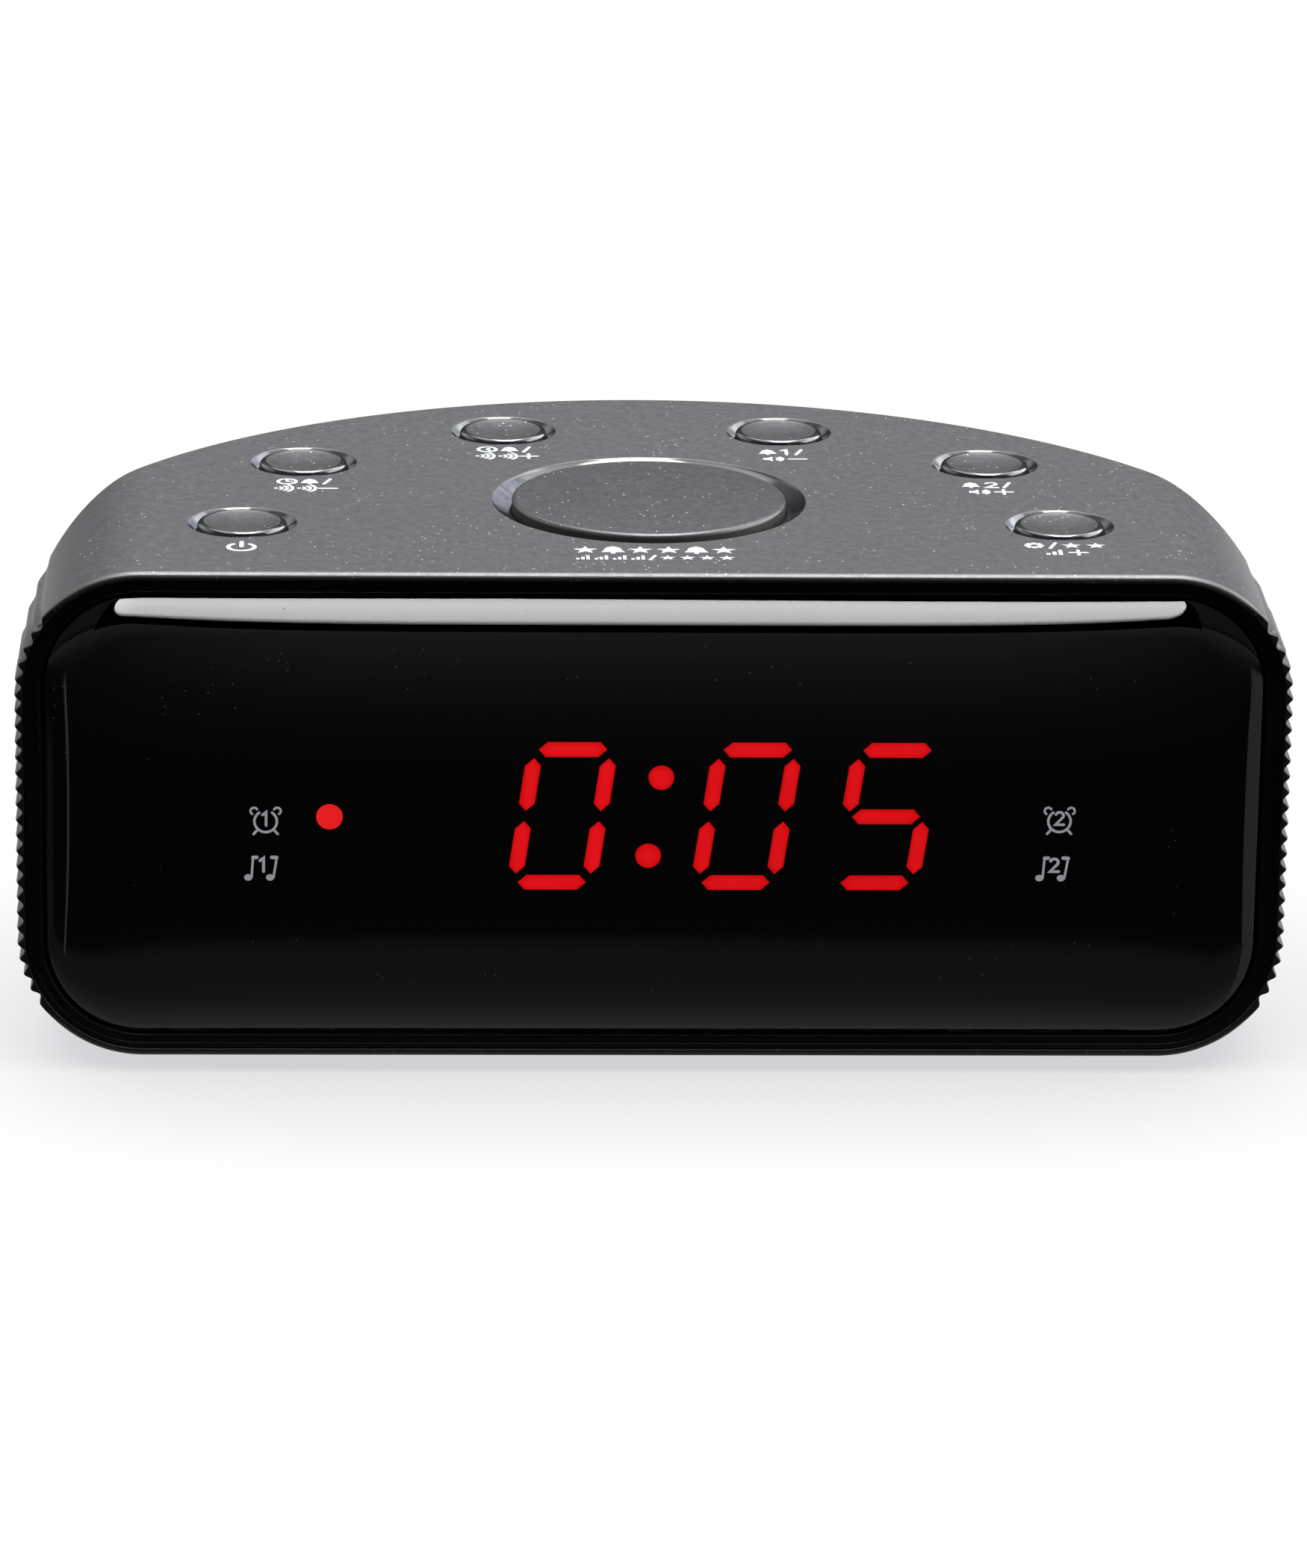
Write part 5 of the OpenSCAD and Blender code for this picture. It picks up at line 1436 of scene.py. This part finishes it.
def mains_plug():
    # x, half width in Y, half height in Z, roundness exponent
    sections = [
        (2.0, 16.2, 5.9, 3.2), (2.12, 16.8, 6.35, 3.2), (2.5, 17.2, 6.65, 3.2),
        (5.2, 17.25, 6.7, 3.2), (5.9, 17.0, 6.5, 3.2), (6.5, 16.2, 6.1, 3.2),
        (7.2, 13.2, 5.6, 3.0), (8.2, 12.5, 5.7, 3.0)]
    for i in range(5):                # grip ribs
        x = 9.0 + 2.4 * i
        sections += [(x, 12.6, 6.1, 3.0), (x + 1.1, 12.6, 6.15, 3.0),
                     (x + 1.45, 12.15, 5.6, 3.0), (x + 2.0, 12.15, 5.6, 3.0)]
    sections += [(21.5, 12.2, 6.2, 2.9), (23.6, 11.6, 6.1, 2.8), (25.4, 10.0, 5.8, 2.6),
                 (26.4, 7.6, 5.3, 2.3), (27.0, 5.2, 4.7, 2.0), (27.6, 4.4, 4.3, 2.0)]
    sleeve = []                       # x, radius
    for i in range(2):
        x, wide, narrow = 28.1 + i * 1.5, i * 0.3, i * 0.25
        sleeve += [(x, 4.15 - wide), (x + 0.7, 4.05 - wide), (x + 0.85, 3.5 - narrow),
                   (x + 1.3, 3.45 - narrow)]
    sleeve += [(31.3, 3.4), (31.9, 3.2), (32.0, 2.2)]
    sections += [(x, radius, radius, 2) for x, radius in sleeve]

    def ring(x, half_y, half_z, power):
        return [(x, PLUG_Y + half_y * copysign(abs(c) ** (2 / power), c),
                 max(PLUG_Z + half_z * copysign(abs(s) ** (2 / power), s), FLOOR + 0.02))
                for c, s in circle(48)]

    mesh = Mesh()
    loops = mesh.loft([ring(*section) for section in sections])
    mesh.face(loops[0][::-1])
    mesh.face(loops[-1])
    mesh.make_part("mains_plug", [PLUG], angle=42)


def plug_pins():
    """Two round pins pointing to -X, with moulded sleeves at their roots."""
    # radius, x
    profile = [(0, -17.0), (0.9, -16.95), (1.45, -16.6), (1.85, -15.9), (2.0, -15.2),
               (2.0, -8.4), (1.9, -8.3), (1.9, -8.0),
               (1.98, -7.9), (2.0, -7.6), (2.0, 2.4), (0, 2.4)]
    mesh = Mesh()
    for y in (PLUG_Y - 9.3, PLUG_Y + 9.3):
        mesh.lathe(profile, lambda across, rise, x: (x, y + across, PLUG_Z + rise), 40,
                   slots=[0] * 7 + [1] * 4)
    mesh.make_part("plug_pins", [NICKEL, PLUG], angle=35)


def smooth_path(points, step):
    """Catmull-Rom curve through points, divided to about step."""
    padded = [points[0] * 2 - points[1]] + points + [points[-1] * 2 - points[-2]]
    result = []
    for before, start, end, after in zip(padded, padded[1:], padded[2:], padded[3:]):
        count = max(2, int((end - start).length / step))
        for j in range(count):
            t = j / count
            result.append(0.5 * ((2 * start) + (end - before) * t
                                 + (2 * before - 5 * start + 4 * end - after) * t * t
                                 + (3 * start - before - 3 * end + after) * t ** 3))
    result.append(points[-1])
    return result


def antenna_wire():
    y_dir, x_dir = unit(ANTENNA_TURN)
    lying = FLOOR + 0.85
    # distance from the centre of the back's arc, z
    leaving = [(62, OUTLET_Z), (72, OUTLET_Z), (79, OUTLET_Z - 0.9), (84, 5.0), (87.5, 0.4)]
    # x, y on the floor
    floor_run = [(53.5, 41.8), (58.4, 49.5), (59.0, 52.0), (57.0, 52.2), (53.0, 49.4),
                 (50.9, 47.0), (51.6, 45.2), (54.0, 42.3), (57.0, 38.4)]
    points = [Vector((x_dir * reach, BACK_Y + y_dir * reach, z)) for reach, z in leaving]
    points += [Vector((x, y, lying)) for x, y in floor_run]
    path = smooth_path(points, step=0.5)
    for point in path:
        point.z = max(point.z, lying)
    mesh = Mesh()
    mesh.tube(path, [0.73] * (len(path) - 3) + [0.7, 0.6, 0.35], 14)
    mesh.make_part("antenna_wire", [CABLE], angle=60, weighted=False)


mains_cord()
cord_grommet()
cord_ties()
mains_plug()
plug_pins()
antenna_wire()


# ---------------------------------------------------------------- feet and lamps
def rubber_feet():
    # radius, z
    profile = [(0, -1.72), (1.0, -1.72), (1.15, -1.85), (2.2, -1.85), (2.35, -1.72),
               (2.75, -1.72), (2.9, -2.0), (3.5, -2.0), (3.86, -1.93), (4.15, -1.74),
               (4.36, -1.42), (4.46, -1.0), (4.5, -0.4), (4.5, 0.8), (0, 0.8)]
    mesh = Mesh()
    for x, y in ((-51.6, -19.3), (51.6, -19.3), (-19, 21), (19, 21)):
        mesh.lathe(profile, upright(x, y), 72)
    mesh.make_part("rubber_feet", [RUBBER], angle=40)


def status_lamps(part, spots, front_material):
    """Short barrels with a softly domed front and a flange at the back."""
    # radius, distance behind the cabinet's front
    profile = [(0.55, 4.90), (1.05, 4.97), (1.36, 5.06), (1.54, 5.18), (1.60, 5.36),
               (1.60, 9.9), (1.78, 10.0), (1.8, 10.1), (1.8, 10.98)]
    mesh = Mesh()
    for x, z in spots:
        mesh.lathe(profile, lambda across, rise, back: (x + across, FRONT + back, z + rise),
                   48, slots=[0] * 4 + [1] * 4, capped=True)
    mesh.make_part(part, [front_material, LAMP_UNLIT], angle=40)


rubber_feet()
status_lamps("alarm_led_lit", [(-38.2, 28.3)], LAMP_LIT)
status_lamps("indicator_leds_unlit", [(-38.2, 22.35), (40.4, 28.3), (40.4, 22.35)], LAMP_UNLIT)

# ---------------------------------------------------------------- CAD nodes that stay
FINISHES = [
    (COVER, "bottom_cover battery_door"),
    (BOARD, "main_board"),
    (CHIP, "key_switch_housings clock_chip radio_chip rectifier_diodes"),
    (MASK, "display_board"),
    (HOUSING, "led_display_housing"),
    (SEGMENT_UNLIT, "led_segments_unlit"),
    (SLEEVE, "electrolytic_capacitors"),
    (STEEL, "quartz_crystal transformer_bracket speaker_frame speaker_yoke battery_contacts"
            " small_screws"),
    (COIL, "tuning_coils transformer_winding speaker_voice_coil"),
    (RIBBON, "display_ribbon"),
    (CORE, "transformer_core"),
    (BOBBIN, "transformer_bobbin"),
    (FERRITE, "speaker_magnet"),
    (PAPER, "speaker_cone speaker_dust_cap"),
    (RUBBER, "speaker_surround"),
    (CELL, "battery_cells"),
    (BLACK_STEEL, "cabinet_screws"),
    (RED, "speaker_wires battery_wires"),
    (BLUE, "transformer_leads"),
    (FOIL, "rating_plate"),
]


def finish_node(name, material):
    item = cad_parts[name]
    if not item.material_slots:
        item.data.materials.append(material)
    for slot in item.material_slots:
        slot.material = material


for finish, node_names in FINISHES:
    for node_name in node_names.split():
        finish_node(node_name, finish)
for node_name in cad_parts:
    if node_name.endswith("_plunger"):
        finish_node(node_name, RED)


# ---------------------------------------------------------------- stage, in metres from here on
def flat_card(name, left, right, near, far, z=0):
    data = bpy.data.meshes.new(name)
    corners = [(left, near, z), (right, near, z), (right, far, z), (left, far, z)]
    data.from_pydata(corners, [], [(0, 1, 2, 3)])
    item = bpy.data.objects.new(name, data)
    bpy.context.scene.collection.objects.link(item)
    return item


# what polished parts reflect of the floor in front: position from far to near, grey level
FLOOR_REFLECTED = [
    (0.0, 0.27), (0.55, 0.19), (0.76, 0.08), (0.88, 0.03), (0.945, 0.030), (0.963, 0.045),
    (0.966, 0.125), (0.978, 0.145), (0.982, 0.167), (0.988, 0.215), (0.995, 0.36), (1.0, 0.50)]
# patches in that reflection: centre x, angles from and to (from -Y towards +X),
# inner and outer radius, softness of the angles, colour
FLOOR_PATCHES = [
    (0.072, 34, 120, 0.005, 0.34, 1.0, (0.44, 0.44, 0.46)),
    (-0.073, -21.6, -19.6, 0.030, 0.22, 0.4, (0.60, 0.60, 0.62)),
    (-0.073, -60, -42, 0.030, 0.15, 3.0, (0.13, 0.10, 0.085))]


def floor_reflection(graph, x, y):
    """Colour that the floor shows to every ray but the camera's."""
    position = graph.remap(y, (-1.04, -0.04))
    ramp = graph.node("ValToRGB", {"Fac": position})
    stops = ramp.color_ramp.elements
    stops.remove(stops[-1])
    stops[0].position, stops[0].color = FLOOR_REFLECTED[0][0], (*grey(FLOOR_REFLECTED[0][1]), 1)
    for place, level in FLOOR_REFLECTED[1:]:
        stops.new(place).color = (*grey(level), 1)
    color = ramp.outputs["Color"]
    ahead = graph.multiply(graph.add(y, 0.041), -1.0)
    for centre, start, end, inner, outer, soft, patch in FLOOR_PATCHES:
        offset = graph.add(x, -centre)
        angle = graph.math("ARCTAN2", offset, ahead)
        sides = graph.window(angle, radians(start), radians(end), radians(soft))
        distance = graph.math("SQRT", graph.add(graph.multiply(offset, offset),
                                                graph.multiply(ahead, ahead)))
        reach = graph.multiply(graph.remap(distance, (inner, inner * 1.15)),
                               graph.remap(distance, (outer * 0.8, outer), (1, 0)))
        color = graph.mix(graph.multiply(*sides, reach), color, patch)
    return graph.mix(graph.remap(y, (-0.03, 0.15)), color, (0.9, 0.9, 0.91))


def make_floor():
    """Pale floor, softly shaded near the object, and clear when seen from beneath."""
    item = flat_card("floor", -8.0, 8.0, -8.0, 8.0, FLOOR * MM)
    graph = material_graph("pale_floor")
    geometry = graph.node("NewGeometry").outputs
    x, y, _ = graph.separate(geometry["Position"])
    rays = graph.node("LightPath").outputs
    shade = graph.node("AmbientOcclusion", {"Distance": 0.05}, samples=8).outputs["AO"]
    pale = graph.mottle(graph.noise(6), (0.985, 0.985, 0.988), grey(1.0))
    seen = graph.mottle(shade, (0.62, 0.62, 0.64), pale, (0.25, 0.95))
    reflected = graph.emission(floor_reflection(graph, x, y),
                               graph.remap(rays["Is Glossy Ray"], (0, 1), (0.3, 1.0)))
    above = graph.mix_shader(rays["Is Camera Ray"], reflected, graph.emission(seen, 1.03))
    clear = graph.node("BsdfTransparent").outputs[0]
    graph.finish(graph.mix_shader(geometry["Backfacing"], above, clear))
    item.data.materials.append(graph.owner)


def make_world():
    """Softboxes painted on the sky; the camera itself sees plain white."""
    world = bpy.data.worlds.new("studio")
    bpy.context.scene.world = world
    graph = Graph(world, "OutputWorld")
    smooth = dict(interpolation_type="SMOOTHSTEP")
    x, y, z = graph.separate(graph.coords["Generated"])
    azimuth = graph.math("ARCTAN2", x, graph.multiply(y, -1.0))   # 0 at -Y, + towards +X
    elevation = graph.math("ARCSINE", z, 0.0)
    level = graph.math("MAXIMUM", z, 0.02)
    plane_x, plane_y = graph.math("DIVIDE", x, level), graph.math("DIVIDE", y, level)

    def box(turn, rise, turn_soft, rise_soft):
        """Patch between two azimuths and two elevations, in degrees."""
        return graph.multiply(
            *graph.window(azimuth, *map(radians, (*turn, turn_soft)), **smooth),
            *graph.window(elevation, *map(radians, (*rise, rise_soft)), **smooth))

    def pane(across, back, soft):
        """Rectangle on a level plane overhead, one unit up."""
        return graph.multiply(*graph.window(plane_x, *across, soft, **smooth),
                              *graph.window(plane_y, *back, soft, **smooth))

    def rising(low, high):
        return graph.remap(elevation, (radians(low), radians(high)), (0.0, 1.0), **smooth)

    # mask, strength
    glows = [
        (pane((-0.14, 0.32), (-0.22, 0.64), soft=0.03), 17.0),         # overhead core
        (pane((-0.55, 0.75), (-0.30, 1.2), soft=0.12), 2.6),           # overhead surround
        (box((72, 140), (4, 48), turn_soft=8, rise_soft=4), 5.5),      # key on the right
        (box((-150, -85), (4, 34), turn_soft=10, rise_soft=6), 1.15),  # fill on the left
        (graph.multiply(rising(8, 60),                                 # glow towards the back
                        graph.remap(y, (-0.1, 0.3), (0.05, 1.0), **smooth)), 0.7),
        (graph.multiply(graph.remap(y, (-0.2, 0.1), (1.0, 0.0), **smooth),
                        rising(-4, 6)), 0.11)]                         # dim front
    total = None
    for mask, strength in glows:
        glow = graph.multiply(mask, strength)
        total = graph.add(total, glow) if total else glow
    total = graph.add(total, 0.02)
    lit = graph.node("Background", {"Color": (0.985, 0.99, 1.0), "Strength": total}).outputs[0]
    white = graph.node("Background", {"Color": grey(1), "Strength": 1.0}).outputs[0]
    camera = graph.node("LightPath").outputs["Is Camera Ray"]
    graph.finish(graph.mix_shader(camera, lit, white))


def make_strip_card():
    """Glowing card over the camera that only the lens picks up."""
    item = flat_card("strip_card", -0.40, 0.40, -0.86, 0.64)
    place, target = Vector((0.0, -1.06, 0.70)), Vector((0.0, -0.04, 0.03))
    item.location = place
    item.rotation_mode = "QUATERNION"
    item.rotation_quaternion = (place - target).to_track_quat("Z", "Y")

    graph = material_graph("strip_glow")
    object_x, object_y, _ = graph.separate(graph.coords["Object"])
    x, y = graph.multiply(object_x, 1 / 0.37), graph.multiply(object_y, 1 / 0.60)
    out = graph.math("ABSOLUTE", x)
    # lower border curls up at the ends, upper border sags between middle and ends
    low = graph.add(graph.multiply(graph.math("POWER", out, 8.0), 2.25), -1.13)
    sag = graph.multiply(out, graph.math("SUBTRACT", 1.0, out), -1.3)
    high = graph.add(sag, 0.60)
    mask = graph.multiply(graph.remap(graph.math("SUBTRACT", y, low), (0.0, 0.18)),
                          graph.remap(graph.math("SUBTRACT", high, y), (0.0, 0.10)),
                          graph.remap(out, (0.985, 1.0), (1, 0)))
    # brighter along a level band and towards the left
    band = graph.remap(graph.math("ABSOLUTE", graph.add(y, 0.25)), (0.0, 0.7), (1, 0))
    strength = graph.add(12.0, graph.multiply(band, 3.5))
    left = graph.remap(x, (-1.0, -0.3), (1, 0))
    strength = graph.add(strength, graph.multiply(left, 4.5))
    graph.finish(graph.emission((0.985, 0.99, 1.0), graph.multiply(mask, strength)))
    item.data.materials.append(graph.owner)

    item.visible_camera = item.visible_diffuse = False
    item.visible_shadow = item.visible_transmission = False
    receivers = bpy.data.collections.new("strip_receivers")
    receivers.objects.link(LENS)
    item.light_linking.receiver_collection = receivers


def make_camera():
    data = bpy.data.cameras.new("camera")
    item = bpy.data.objects.new("camera", data)
    bpy.context.scene.collection.objects.link(item)
    right = Vector((0.9994, -0.03216, 0.01308))
    up = Vector((-0.00254, 0.30808, 0.95136))
    forward = Vector((0.03462, 0.95082, -0.30781))
    place = Vector((-0.03178, -0.90879, 0.31564))
    rotation = Matrix((right, up, -forward)).transposed().to_4x4()
    item.matrix_world = Matrix.Translation(place) @ rotation
    data.sensor_width = 36
    data.lens = 178.623771
    data.clip_start, data.clip_end = 0.01, 50
    bpy.context.scene.camera = item


make_floor()
make_world()
make_strip_card()
make_camera()
view = bpy.context.scene.view_settings
view.view_transform = "Standard"
view.look = "None"

bpy.context.view_layer.update()
